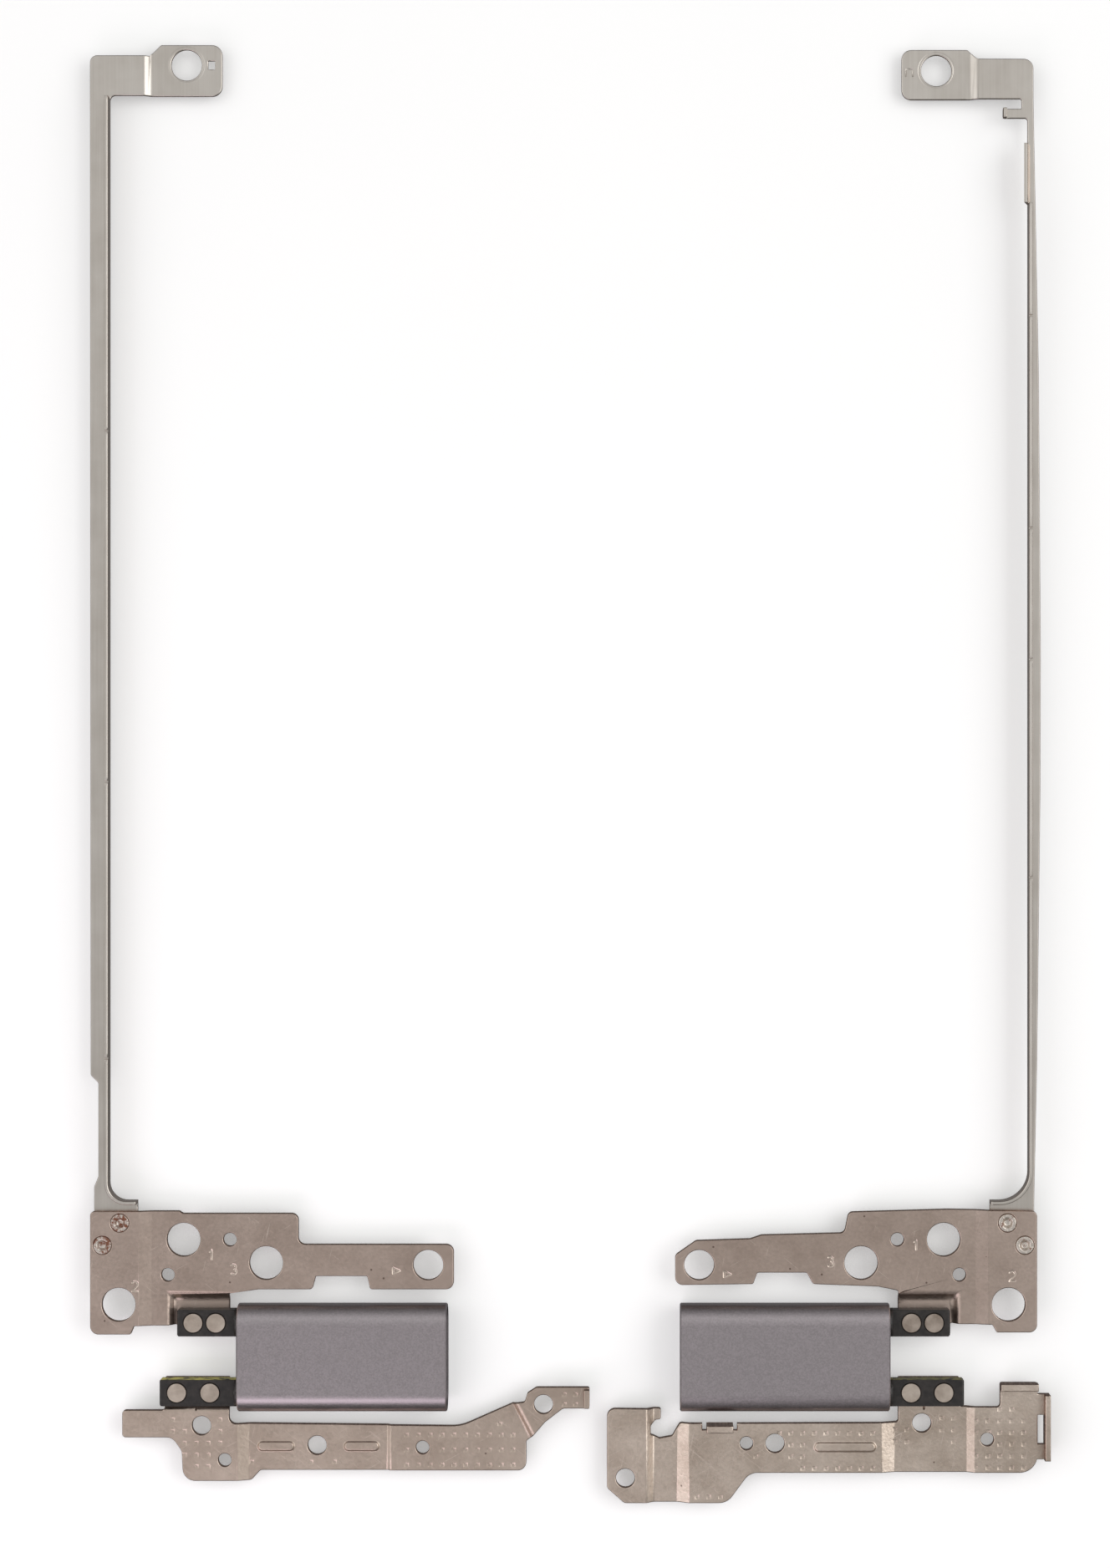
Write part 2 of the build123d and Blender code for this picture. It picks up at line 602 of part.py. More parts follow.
def make_nut(side, name, axis_y):
    """Lock nut on a shaft's end."""
    with BuildPart() as nut:
        with BuildSketch(slice_plane(side, NUT_AT, NUT_THICKNESS)):
            with Locations((axis_y, AXIS_Z)):
                RegularPolygon(NUT_FLATS / 2, 6, major_radius=False)
                Circle(SPIGOT_RADIUS + SEAT, mode=Mode.SUBTRACT)
        extrude(amount=NUT_THICKNESS)
    save(nut, f"{side}_{name}")


def make_display_bracket(side):
    """Screen bracket, raised over the arm's foot and stepped down under the shaft's flat."""
    corners = DISPLAY_OUTLINE[side]
    top_y = DISPLAY_AXIS_Y + max(up for _, up, _ in corners) + PLATE
    inner_end = max(inward for inward, _, _ in corners) + PLATE
    levels = [
        (BRACKET_OUTER - PLATE, RAISED_BOTTOM),
        (RAISE_RAMP[0], RAISED_BOTTOM),
        (RAISE_RAMP[1], BRACKET_BOTTOM),
        (inner_end, BRACKET_BOTTOM),
    ]
    shelf_mouth = [
        (-DISPLAY_BAR_LENGTH - SHELF_BORDER, HALF_BAR + SHELF_TOP),
        (SLEEVE_THICKNESS, HALF_BAR + SHELF_TOP),
        (SLEEVE_THICKNESS, -BAR_HEIGHT),
        (-DISPLAY_BAR_LENGTH - SHELF_BORDER, -BAR_HEIGHT),
    ]
    with BuildPart() as bracket:
        with BuildSketch(Plane.XZ.offset(-top_y)) as section:
            draw_section(section, side, levels, PLATE)
        extrude(amount=DEEP)
        mouth = plan(side, DISPLAY_AXIS_Y, shelf_mouth)
        step_sheet(mouth, BRACKET_BOTTOM, PLATE, SHELF_BOTTOM - BRACKET_BOTTOM)
        with BuildSketch() as outline:
            draw_outline(outline, side, DISPLAY_AXIS_Y, corners)
            for places, radius in (
                (BOSS_HOLES, BOSS_HOLE_RADIUS),
                ([TIP_HOLE], TIP_HOLE_RADIUS),
                (DISPLAY_PIN_HOLES, PIN_HOLE_RADIUS),
                (CLINCHES, CLINCH_RADIUS + SEAT),
                ([(-out, 0) for out in DISPLAY_RIVETS], RIVET_RADIUS + SEAT),
            ):
                with Locations(*plan(side, DISPLAY_AXIS_Y, places)):
                    Circle(radius, mode=Mode.SUBTRACT)
        extrude(amount=TALL, mode=Mode.INTERSECT)
    save(bracket, f"{side}_display_bracket")


def add_beads(side, beads, top):
    """Pressed stiffening beads on the open part's sheet, hollow underneath."""
    for inward, up, length in beads:
        place = plan(side, BASE_AXIS_Y, [(inward, up)])
        with BuildSketch(Plane.XY.offset(top)) as ridge:
            with Locations(*place):
                SlotOverall(length, BEAD_WIDTH)
        extrude(ridge.sketch, amount=BEAD_HEIGHT, taper=STEP_LEAN)
        with BuildSketch(Plane.XY.offset(top - PLATE)) as hollow:
            with Locations(*place):
                SlotOverall(length - BEAD_WIDTH / 3, BEAD_WIDTH * 2 / 3)
        extrude(hollow.sketch, amount=BEAD_HEIGHT, taper=STEP_LEAN, mode=Mode.SUBTRACT)


def cut_base_outline(side, corners, holes, pin_holes):
    """Cuts the open part's joggled sheet to a base bracket's outline and holes."""
    with BuildSketch() as outline:
        draw_outline(outline, side, BASE_AXIS_Y, corners)
        for places, radius in (
            (holes, BASE_HOLE_RADIUS),
            (pin_holes, PIN_HOLE_RADIUS),
            ([(-out, 0) for out in BASE_RIVETS[side]], RIVET_RADIUS + SEAT),
        ):
            with Locations(*plan(side, BASE_AXIS_Y, places)):
                Circle(radius, mode=Mode.SUBTRACT)
    extrude(outline.sketch, amount=TALL, mode=Mode.INTERSECT)


def add_block(side, axis_y, inward, up, bottom, height, mode=Mode.ADD):
    """Upright block on the open part between two places inward and two places up."""
    middle = ((inward[0] + inward[1]) / 2, (up[0] + up[1]) / 2)
    with BuildSketch(Plane.XY.offset(bottom)) as foot:
        with Locations(*plan(side, axis_y, [middle])):
            Rectangle(abs(inward[1] - inward[0]), abs(up[1] - up[0]))
    extrude(foot.sketch, amount=height, mode=mode)


def joggled_blank(side, corners, steps):
    """Blank of a base bracket: a sheet that follows (inward, underside) steps."""
    outer = min(inward for inward, _, _ in corners) - MARGIN
    inner = max(inward for inward, _, _ in corners) + MARGIN
    levels = [(outer, steps[0][1]), *steps, (inner, steps[-1][1])]
    with BuildSketch(Plane.XZ.offset(-BASE_AXIS_Y - BAR_HEIGHT)) as section:
        draw_section(section, side, levels, PLATE)
    extrude(section.sketch, amount=DEEP)


def make_left_base_bracket():
    """Left base bracket: tongue, tab under the shaft, beaded plate, inner plate and end tab."""
    side = "left"
    inner_bottom = SHELF_BOTTOM + BASE_MID_RAISE
    end_bottom = inner_bottom + BASE_TAB_RAISE
    steps = [
        (BEADED_RAMP[0], BASE_PLATE_BOTTOM),
        (BEADED_RAMP[1], SHELF_BOTTOM),
        (INNER_STEP[0], SHELF_BOTTOM),
        (INNER_STEP[1], inner_bottom),
    ]
    tab_out = min(inward for inward, _, _ in LEFT_BASE_OUTLINE) - MARGIN
    tab_mouth = [(tab_out, LEFT_TAB_UP), (0, LEFT_TAB_UP), (0, DEEP), (tab_out, DEEP)]
    end_mouth = [*END_STEP, (DEEP, END_STEP[1][1]), (DEEP, END_STEP[0][1])]
    lip_length = END_TAB_UP[1] - END_TAB_UP[0] - LIP_SHEET / 2
    lip = (END_TAB_INNER - LIP_SHEET / 2, (END_TAB_UP[0] + END_TAB_UP[1]) / 2)
    with BuildPart() as bracket:
        joggled_blank(side, LEFT_BASE_OUTLINE, steps)
        step_sheet(plan(side, BASE_AXIS_Y, tab_mouth), BASE_PLATE_BOTTOM, PLATE, -BASE_RAISE)
        step_sheet(plan(side, BASE_AXIS_Y, end_mouth), inner_bottom, PLATE, BASE_TAB_RAISE)
        cut_base_outline(side, LEFT_BASE_OUTLINE, LEFT_BASE_HOLES, LEFT_BASE_PIN_HOLES)
        add_beads(side, LEFT_BEADS, SHELF_BOTTOM + PLATE)
        with BuildSketch(Plane.XY.offset(end_bottom + PLATE / 2)):
            with Locations(*plan(side, BASE_AXIS_Y, [lip])):
                RectangleRounded(LIP_SHEET, lip_length, LIP_SHEET / 4)
        extrude(amount=PLATE / 2 + LIP_HEIGHT)
    save(bracket, f"{side}_base_bracket")


def add_turned_edges(side):
    """Hem, windowed side flange and upright stop tab of the right base bracket."""
    hem = ((RIGHT_BASE_OUTER, HEM_INNER), (HEM_TOP - PLATE, HEM_TOP))
    add_block(side, BASE_AXIS_Y, *hem, BASE_PLATE_BOTTOM + PLATE / 2, PLATE / 2 + HEM_HEIGHT)
    flange = ((-RIGHT_REACH, LIP_SHEET - RIGHT_REACH), SIDE_FLANGE)
    add_block(side, BASE_AXIS_Y, *flange, BASE_PLATE_BOTTOM, PLATE + SIDE_FLANGE_HEIGHT)
    for bridge in ((SIDE_FLANGE[0], SIDE_WINDOW[0]), (SIDE_WINDOW[1], SIDE_FLANGE[1])):
        across_gap = (-RIGHT_REACH, RIGHT_BASE_OUTER + PLATE)
        add_block(side, BASE_AXIS_Y, across_gap, bridge, BASE_PLATE_BOTTOM, PLATE)
    notch_up = (STOP_TAB_UP - PLATE, 0)
    for notch in (STOP_TAB[0] - RELIEF, STOP_TAB[1]):
        add_block(side, BASE_AXIS_Y, (notch, notch + RELIEF), notch_up, 0, TALL, Mode.SUBTRACT)
    stop_tab = (STOP_TAB, (STOP_TAB_UP - PLATE, STOP_TAB_UP))
    add_block(side, BASE_AXIS_Y, *stop_tab, BASE_PLATE_BOTTOM + PLATE / 2, PLATE / 2 + STOP_TAB_HEIGHT)


def make_right_base_bracket():
    """Right base bracket: hooked end plate, channel, beaded plate, tab and hemmed outer plate."""
    side = "right"
    channel_bottom = SHELF_BOTTOM - CHANNEL_DROP
    steps = []
    for ramps, low in ((RIGHT_TAB_RAMPS, SHELF_BOTTOM), (CHANNEL_RAMPS, channel_bottom)):
        (down, sunk), (leaving, risen) = ramps
        steps += [(down, BASE_PLATE_BOTTOM), (sunk, low), (leaving, low), (risen, BASE_PLATE_BOTTOM)]
    with BuildPart() as bracket:
        joggled_blank(side, RIGHT_BASE_OUTLINE, steps)
        cut_base_outline(side, RIGHT_BASE_OUTLINE, RIGHT_BASE_HOLES, RIGHT_BASE_PIN_HOLES)
        add_beads(side, RIGHT_BEADS, BASE_PLATE_BOTTOM + PLATE)
        add_turned_edges(side)
    save(bracket, f"{side}_base_bracket")


def add_arm_features(side, path, flange_edge, nicks):
    """Upright flange, its nicks and the clinch bosses on the open part's sheet."""
    with BuildSketch(Plane.XY.offset(ARM_BOTTOM)) as flange:
        trace(path, line_width=ARM_SHEET)
    extrude(flange.sketch, amount=FLANGE_HEIGHT)
    flange_top = ARM_BOTTOM + FLANGE_HEIGHT
    nick_x = across(side, flange_edge)
    with Locations(*[(nick_x, DISPLAY_AXIS_Y + up, flange_top) for up in nicks]):
        Box(2 * ARM_SHEET + NICK_WIDTH, NICK_WIDTH, 2 * NICK_DEPTH, mode=Mode.SUBTRACT)
    boss_top = RAISED_BOTTOM + PLATE + CLINCH_PROUD
    with BuildSketch(Plane.XY.offset(ARM_BOTTOM)) as bosses:
        with Locations(*plan(side, DISPLAY_AXIS_Y, CLINCHES)):
            Circle(CLINCH_RADIUS)
    extrude(bosses.sketch, amount=boss_top - ARM_BOTTOM)
    with BuildSketch(Plane.XY.offset(boss_top)) as dimples:
        with Locations(*plan(side, DISPLAY_AXIS_Y, CLINCHES)):
            Circle(CLINCH_DIMPLE)
    extrude(dimples.sketch, amount=-CLINCH_DIMPLE_DEPTH, taper=STEP_LEAN, mode=Mode.SUBTRACT)


def flange_path(side, edge, top):
    """Middle line of an arm's flange, down the strip and round above the bracket."""
    inset = ARM_SHEET / 2
    places = [(edge - inset, top), (edge - inset, GUSSET_UP - inset), (FOOT_INNER, GUSSET_UP - inset)]
    with BuildLine(mode=Mode.PRIVATE) as path:
        FilletPolyline(*plan(side, DISPLAY_AXIS_Y, places), radius=GUSSET_RADIUS[side] + inset)
    return path.line


def drop_tab(side, bend, sheet):
    """Steps the open part's hole tab down past its bend and trims it to the sheet's outline."""
    top = ARM_REACH + MARGIN
    region = [(bend, top), (MARGIN, top), (MARGIN, top - DEEP), (bend, top - DEEP)]
    points = plan(side, DISPLAY_AXIS_Y, region)
    step_sheet(points, ARM_BOTTOM, ARM_SHEET, -ARM_TAB_DROP, ARM_TAB_LEAN)
    extrude(sheet.sketch, amount=TALL, both=True, mode=Mode.INTERSECT)


def make_left_screen_arm():
    """Left arm: hole tab, top piece, long flanged strip and the foot under the bracket."""
    side = "left"
    with BuildPart() as arm:
        with BuildSketch(Plane.XY.offset(ARM_BOTTOM)) as sheet:
            draw_outline(sheet, side, DISPLAY_AXIS_Y, LEFT_ARM_OUTLINE)
            with Locations(*plan(side, DISPLAY_AXIS_Y, [LEFT_ARM_HOLE])):
                Circle(ARM_HOLE_RADIUS, mode=Mode.SUBTRACT)
            with Locations(*plan(side, DISPLAY_AXIS_Y, [LEFT_ARM_SLOT])):
                Rectangle(*LEFT_ARM_SLOT_SIZE, mode=Mode.SUBTRACT)
        extrude(amount=ARM_SHEET)
        drop_tab(side, LEFT_TAB_BEND, sheet)
        path = flange_path(side, LEFT_ARM_EDGE, LEFT_FLANGE_TOP)
        add_arm_features(side, path, LEFT_ARM_EDGE, LEFT_NICKS)
    save(arm, f"{side}_screen_arm")


def add_leaning_flange(side):
    """Stretch of the right arm's flange that leans inward, above the upright one."""
    foot = RIGHT_ARM_EDGE - ARM_SHEET
    corners = [
        (foot, ARM_BOTTOM),
        (foot + ARM_SHEET, ARM_BOTTOM),
        (foot + ARM_SHEET + RIGHT_LEAN, ARM_BOTTOM + FLANGE_HEIGHT),
        (foot + RIGHT_LEAN, ARM_BOTTOM + FLANGE_HEIGHT),
    ]
    with BuildSketch(Plane.XZ.offset(-DISPLAY_AXIS_Y - RIGHT_LEAN_TOP)) as section:
        Polygon(*[(across(side, inward), height) for inward, height in corners], align=None)
    extrude(section.sketch, amount=RIGHT_LEAN_TOP - RIGHT_FLANGE_TOP)


def make_right_screen_arm():
    """Right arm: as the left, with a bowed strip and a small hook under the top piece."""
    side = "right"
    bow_ends = [RIGHT_ARM_OUTLINE[-1][:2], RIGHT_ARM_BOW, (RIGHT_ARM_OUTER, RIGHT_TOP_LOW)]
    hook_end = ((HOOK_INNER - ARM_SHEET, HOOK_INNER), HOOK_UP)
    with BuildPart() as arm:
        with BuildSketch(Plane.XY.offset(ARM_BOTTOM)) as sheet:
            draw_outline(sheet, side, DISPLAY_AXIS_Y, RIGHT_ARM_OUTLINE)
            with BuildLine():
                bow = ThreePointArc(*plan(side, DISPLAY_AXIS_Y, bow_ends))
                Line(bow @ 1, bow @ 0)
            make_face()
            with Locations(*plan(side, DISPLAY_AXIS_Y, [RIGHT_ARM_HOLE])):
                Circle(ARM_HOLE_RADIUS, mode=Mode.SUBTRACT)
        extrude(amount=ARM_SHEET)
        drop_tab(side, RIGHT_TAB_BEND, sheet)
        add_block(side, DISPLAY_AXIS_Y, *hook_end, ARM_BOTTOM + ARM_SHEET / 2, HOOK_HEIGHT)
        add_leaning_flange(side)
        path = flange_path(side, RIGHT_ARM_EDGE, RIGHT_FLANGE_TOP)
        add_arm_features(side, path, RIGHT_ARM_EDGE, RIGHT_NICKS)
    save(arm, f"{side}_screen_arm")


for side in SIDES:
    make_sleeve(side)
    make_end_cap(side)
    make_bearing_plate(side, "front_plate", FRONT_AT, FRONT_PLATE, JOURNAL_RADIUS)
    make_bearing_plate(side, "rear_plate", REAR_AT, REAR_PLATE, SPIGOT_RADIUS)
    make_idler_pins(side)
    for place, name in enumerate(
        ("base_gear", "idler_near_base", "idler_near_display", "display_gear")
    ):
        make_gear(side, name, place)
    make_friction_plates(side)
    make_display_bracket(side)
    make_shaft(side, "display_shaft", DISPLAY_AXIS_Y, DISPLAY_BAR_LENGTH, DISPLAY_RIVETS)
    make_rivets(side, "display_rivets", DISPLAY_AXIS_Y, DISPLAY_RIVETS)
    make_shaft(side, "base_shaft", BASE_AXIS_Y, BASE_BAR_LENGTH[side], BASE_RIVETS[side])
    make_rivets(side, "base_rivets", BASE_AXIS_Y, BASE_RIVETS[side])
    for half, axis_y in (("display", DISPLAY_AXIS_Y), ("base", BASE_AXIS_Y)):
        make_washers(side, f"{half}_washers", axis_y)
        make_springs(side, f"{half}_springs", axis_y)
        make_nut(side, f"{half}_nut", axis_y)
make_left_base_bracket()
make_right_base_bracket()
make_left_screen_arm()
make_right_screen_arm()
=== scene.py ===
# %% [markdown]
# # Dressing a pair of laptop hinges
#
# Two hinges of a folding laptop lie on a white table, opened flat. The solids come from a CAD
# model, one object for each real piece, already in place and in metres. In this notebook we give
# each piece the surface that its factory gave it: sheared and plated sheet, rolled stainless strip,
# blackened shafts, ground rivets and a bead-blasted anodised sleeve.

# %% Load the frame
import json
import math

import bmesh
import bpy
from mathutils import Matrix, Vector
from mathutils.bvhtree import BVHTree

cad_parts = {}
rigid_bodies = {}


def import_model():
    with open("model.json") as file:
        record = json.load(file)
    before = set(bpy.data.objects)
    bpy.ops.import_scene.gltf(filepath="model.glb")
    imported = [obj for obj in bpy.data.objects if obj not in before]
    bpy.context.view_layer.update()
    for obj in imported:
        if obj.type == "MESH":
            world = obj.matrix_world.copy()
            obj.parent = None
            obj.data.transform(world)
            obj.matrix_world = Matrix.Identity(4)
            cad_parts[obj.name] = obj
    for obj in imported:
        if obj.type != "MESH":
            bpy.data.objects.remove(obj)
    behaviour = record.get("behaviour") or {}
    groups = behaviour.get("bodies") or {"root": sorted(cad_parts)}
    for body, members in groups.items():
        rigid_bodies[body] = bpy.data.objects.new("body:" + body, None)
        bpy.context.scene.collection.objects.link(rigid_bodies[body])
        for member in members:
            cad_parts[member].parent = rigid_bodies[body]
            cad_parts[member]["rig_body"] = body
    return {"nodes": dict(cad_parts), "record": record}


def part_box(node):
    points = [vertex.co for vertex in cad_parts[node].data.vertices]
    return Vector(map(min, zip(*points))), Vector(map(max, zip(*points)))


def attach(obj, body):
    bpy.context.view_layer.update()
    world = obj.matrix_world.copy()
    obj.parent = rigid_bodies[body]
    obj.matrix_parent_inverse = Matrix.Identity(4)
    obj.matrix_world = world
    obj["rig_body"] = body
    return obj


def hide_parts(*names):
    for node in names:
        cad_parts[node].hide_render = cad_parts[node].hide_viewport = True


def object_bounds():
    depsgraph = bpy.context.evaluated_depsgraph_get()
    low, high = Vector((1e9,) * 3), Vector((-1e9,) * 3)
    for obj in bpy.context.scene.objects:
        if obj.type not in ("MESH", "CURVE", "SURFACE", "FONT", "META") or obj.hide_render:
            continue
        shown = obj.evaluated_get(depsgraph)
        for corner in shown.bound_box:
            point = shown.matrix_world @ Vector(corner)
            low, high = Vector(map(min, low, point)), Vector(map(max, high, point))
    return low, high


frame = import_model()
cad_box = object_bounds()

MM = 0.001
SIDES = ("left", "right")
SLOT_OF = {part["node"]: part["material_slot"] for part in frame["record"]["subparts"]}
box_mm = [[round(value / MM, 1) for value in corner] for corner in cad_box]
print("pieces:", len(frame["nodes"]), "box in mm:", box_mm)

# %% [markdown]
# ## Where things are
#
# Every mark on a bracket is measured from its own hinge: inward from the outer end of the sleeve,
# and up from the axis of a shaft. We read those two lines from the CAD pieces, so the marks
# follow if the CAD model ever moves. Mirroring is then a change of sign.

# %% Places on one hinge
def hinge_lines(side):
    """Outer end of a sleeve, the inward direction, and the heights of both axes, in metres."""
    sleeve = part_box(f"{side}_sleeve")
    axes = {}
    for half in ("display", "base"):
        low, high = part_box(f"{side}_{half}_nut")
        axes[half] = (low.y + high.y) / 2
    if side == "left":
        return sleeve[0].x, 1, axes
    return sleeve[1].x, -1, axes


def plan_place(side, half, inward_mm, up_mm):
    """Plan point of a place given in millimetres from the sleeve's end and a shaft's axis."""
    outer_end, inward, axes = hinge_lines(side)
    return outer_end + inward * inward_mm * MM, axes[half] + up_mm * MM


for side in SIDES:
    print(side, "sleeve end and axes in mm:", hinge_lines(side)[0] / MM, hinge_lines(side)[2])

# %% [markdown]
# ## Colours and shader nodes
#
# Colours are easiest to read as the hex values that a picture shows, while the renderer works with
# linear light, so one function converts them. A second function adds a shader node, sets its
# options and fills its inputs, each with a plain value or with a link from another node. Most finishes
# run from a dark to a light tint, so a third one sets the two ends of such a run.

# %% Colour and node helpers
def colour(hex_code):
    """Linear RGBA from an sRGB hex code."""
    channels = [int(hex_code[place : place + 2], 16) / 255 for place in (1, 3, 5)]
    linear = [c / 12.92 if c <= 0.04045 else ((c + 0.055) / 1.055) ** 2.4 for c in channels]
    return (*linear, 1.0)


def add_node(tree, kind, inputs=None, **settings):
    """Adds a shader node with its settings, and sets or links its inputs by name or number."""
    node = tree.nodes.new(kind)
    for name, value in settings.items():
        setattr(node, name, value)
    for name, value in (inputs or {}).items():
        if isinstance(value, bpy.types.NodeSocket):
            tree.links.new(value, node.inputs[name])
        else:
            node.inputs[name].default_value = value
    return node


def set_stops(ramp, *stops):
    """Gives a colour ramp its two stops, each a position and a hex code."""
    for element, (position, hex_code) in zip(ramp.color_ramp.elements, stops):
        element.position = position
        element.color = colour(hex_code)


def per_size(size_mm):
    """Texture scale at which a pattern's features are that many millimetres across."""
    return 1 / (size_mm * MM)


def new_material(name):
    """Empty node material: returns it, its tree, its shader and its object coordinates."""
    material = bpy.data.materials.new(name)
    material.use_nodes = True
    tree = material.node_tree
    tree.nodes.clear()
    shader = add_node(tree, "ShaderNodeBsdfPrincipled")
    add_node(tree, "ShaderNodeOutputMaterial", {"Surface": shader.outputs["BSDF"]})
    place = add_node(tree, "ShaderNodeTexCoord").outputs["Object"]
    return material, tree, shader, place


print("white in linear light:", colour("#FFFFFF"))

# %% [markdown]
# ## Scratches
#
# Loose steel parts rub against each other in a bin, so they carry fine straight scratches in every
# direction. A noise that is squeezed across and stretched along one direction gives short streaks,
# and keeping only its highest peaks leaves a few thin lines. Three such layers, each turned another
# way, look random. A painted image would do too, but this needs no file and has no seams.

# %% A mask of fine scratches
SCRATCH_WIDTH_MM = 0.12  # real ones are near 0.03 mm; drawn wider so that they show
SCRATCH_LENGTH_MM = 4.5


def scratch_mask(tree, place, turns, threshold):
    """Socket with 1 on thin scratches and 0 elsewhere, one layer for each turn in degrees."""
    mask = None
    for layer, turn in enumerate(turns):
        turned = add_node(
            tree,
            "ShaderNodeMapping",
            {
                "Vector": place,
                "Location": (0.013 * layer, 0.029 * layer, 0),
                "Rotation": (0, 0, math.radians(turn)),
                "Scale": (SCRATCH_LENGTH_MM * MM, SCRATCH_WIDTH_MM * MM, SCRATCH_LENGTH_MM * MM),
            },
            vector_type="TEXTURE",
        )
        streaks = add_node(
            tree, "ShaderNodeTexNoise", {"Vector": turned.outputs[0], "Scale": 1.0, "Detail": 1.0}
        )
        peaks = add_node(
            tree,
            "ShaderNodeMapRange",
            {"Value": streaks.outputs[0], "From Min": threshold, "From Max": threshold + 0.06},
        )
        if mask is None:
            mask = peaks.outputs[0]
        else:
            both = add_node(tree, "ShaderNodeMath", {0: mask, 1: peaks.outputs[0]}, operation="MAXIMUM")
            mask = both.outputs[0]
    return mask


print("scratch layers are", SCRATCH_WIDTH_MM, "mm wide")

# %% [markdown]
# ## Nickel-plated stamped steel
#
# The brackets are low-carbon steel sheet, stamped to shape and barrel-plated with dull nickel. That
# gives the eye a warm grey metal with cloudy patches a few millimetres wide, a fine matt grain from
# the rolled sheet under the plating, small dark pits and bright scratches. The base brackets were
# coined and rubbed much more than the screen brackets, so wear is a setting of this finish.

# %% Bracket finish
def make_bracket_steel(name, wear, dark, light):
    """Dull nickel plate between two tints; wear adds scratches and grain, and 1 is a coined bracket."""
    material, tree, shader, place = new_material(name)
    clouds = add_node(
        tree, "ShaderNodeTexNoise", {"Vector": place, "Scale": per_size(7.0), "Detail": 5.0, "Roughness": 0.62}
    )
    tint = add_node(tree, "ShaderNodeValToRGB", {"Fac": clouds.outputs[0]})
    set_stops(tint, (0.3, dark), (0.7, light))
    grain = add_node(tree, "ShaderNodeTexNoise", {"Vector": place, "Scale": per_size(0.42), "Detail": 3.0})
    scratches = scratch_mask(tree, place, (28, 77, 141), 0.76 - 0.045 * wear)
    brightened = add_node(
        tree,
        "ShaderNodeMix",
        {"Factor": scratches, "A": tint.outputs[0], "B": colour("#D9CABD")},
        data_type="RGBA",
    )
    pits = add_node(tree, "ShaderNodeTexVoronoi", {"Vector": place, "Scale": per_size(3.1)})
    pit_mask = add_node(
        tree,
        "ShaderNodeMapRange",
        {"Value": pits.outputs["Distance"], "From Min": 0.035, "From Max": 0.06, "To Min": 0.75, "To Max": 0.0},
    )
    pitted = add_node(
        tree,
        "ShaderNodeMix",
        {"Factor": pit_mask.outputs[0], "A": brightened.outputs["Result"], "B": colour("#5E4C42")},
        data_type="RGBA",
    )
    gloss = add_node(
        tree,
        "ShaderNodeMapRange",
        {"Value": grain.outputs[0], "From Min": 0.3, "From Max": 0.7, "To Min": 0.30, "To Max": 0.46},
    )
    rough_skin = add_node(
        tree,
        "ShaderNodeBump",
        {"Height": grain.outputs[0], "Strength": 0.16 + 0.34 * wear, "Distance": 0.05 * MM},
    )
    scored = add_node(
        tree,
        "ShaderNodeBump",
        {"Height": scratches, "Strength": 0.18, "Distance": -0.02 * MM, "Normal": rough_skin.outputs[0]},
    )
    tree.links.new(pitted.outputs["Result"], shader.inputs["Base Color"])
    tree.links.new(gloss.outputs[0], shader.inputs["Roughness"])
    tree.links.new(scored.outputs[0], shader.inputs["Normal"])
    shader.inputs["Metallic"].default_value = 1.0
    return material


screen_plate = make_bracket_steel("nickel_plated_stamped_steel", 0.25, "#B3A195", "#C9B7AB")
base_plates = {
    "left": make_bracket_steel("nickel_plated_coined_steel", 1.0, "#BBAA9C", "#D2C2B4"),
    "right": make_bracket_steel("nickel_plated_rubbed_steel", 1.9, "#BDAD9E", "#E2D3C5"),
}
print("made", screen_plate.name, *[plate.name for plate in base_plates.values()])

# %% [markdown]
# ## Punched edges and pressed marks
#
# A punch shears sheet: the cut wall is part burnished and part torn, and the plating hardly covers it,
# so edges look pinkish brown beside the grey faces. Where a die coins the surface, the metal is
# squeezed smooth and bright. Both are small, and they are what makes stamped sheet look stamped.

# %% Edge and mark finishes
def make_punched_edge():
    """Sheared wall of plated sheet: brown, with fine upright burnish lines."""
    material, tree, shader, place = new_material("sheared_steel_edge")
    upright = add_node(
        tree,
        "ShaderNodeMapping",
        {"Vector": place, "Scale": (per_size(0.25), per_size(0.25), per_size(2.0))},
    )
    lines = add_node(tree, "ShaderNodeTexNoise", {"Vector": upright.outputs[0], "Scale": 1.0, "Detail": 2.0})
    tint = add_node(tree, "ShaderNodeValToRGB", {"Fac": lines.outputs[0]})
    set_stops(tint, (0.32, "#7E6357"), (0.68, "#B39A8C"))
    tree.links.new(tint.outputs[0], shader.inputs["Base Color"])
    shader.inputs["Metallic"].default_value = 1.0
    shader.inputs["Roughness"].default_value = 0.42
    return material


def make_coined_steel():
    """Metal squeezed bright by a die."""
    material, tree, shader, place = new_material("coined_bright_steel")
    ripple = add_node(tree, "ShaderNodeTexNoise", {"Vector": place, "Scale": per_size(0.3), "Detail": 2.0})
    tint = add_node(tree, "ShaderNodeValToRGB", {"Fac": ripple.outputs[0]})
    set_stops(tint, (0.0, "#C2B1A4"), (1.0, "#DDCEC2"))
    tree.links.new(tint.outputs[0], shader.inputs["Base Color"])
    shader.inputs["Metallic"].default_value = 1.0
    shader.inputs["Roughness"].default_value = 0.26
    return material


punched_edge = make_punched_edge()
coined_mark = make_coined_steel()
print("made", punched_edge.name, "and", coined_mark.name)

# %% [markdown]
# ## Cold-rolled stainless strip
#
# The long screen arms are thin stainless strip, cold-rolled between polished rolls and bent along one
# edge. Rolling leaves faint straight lines along the strip, so the metal is lighter and cooler than the
# brackets and its gloss runs lengthwise. Stretching the noise along Y gives that direction.

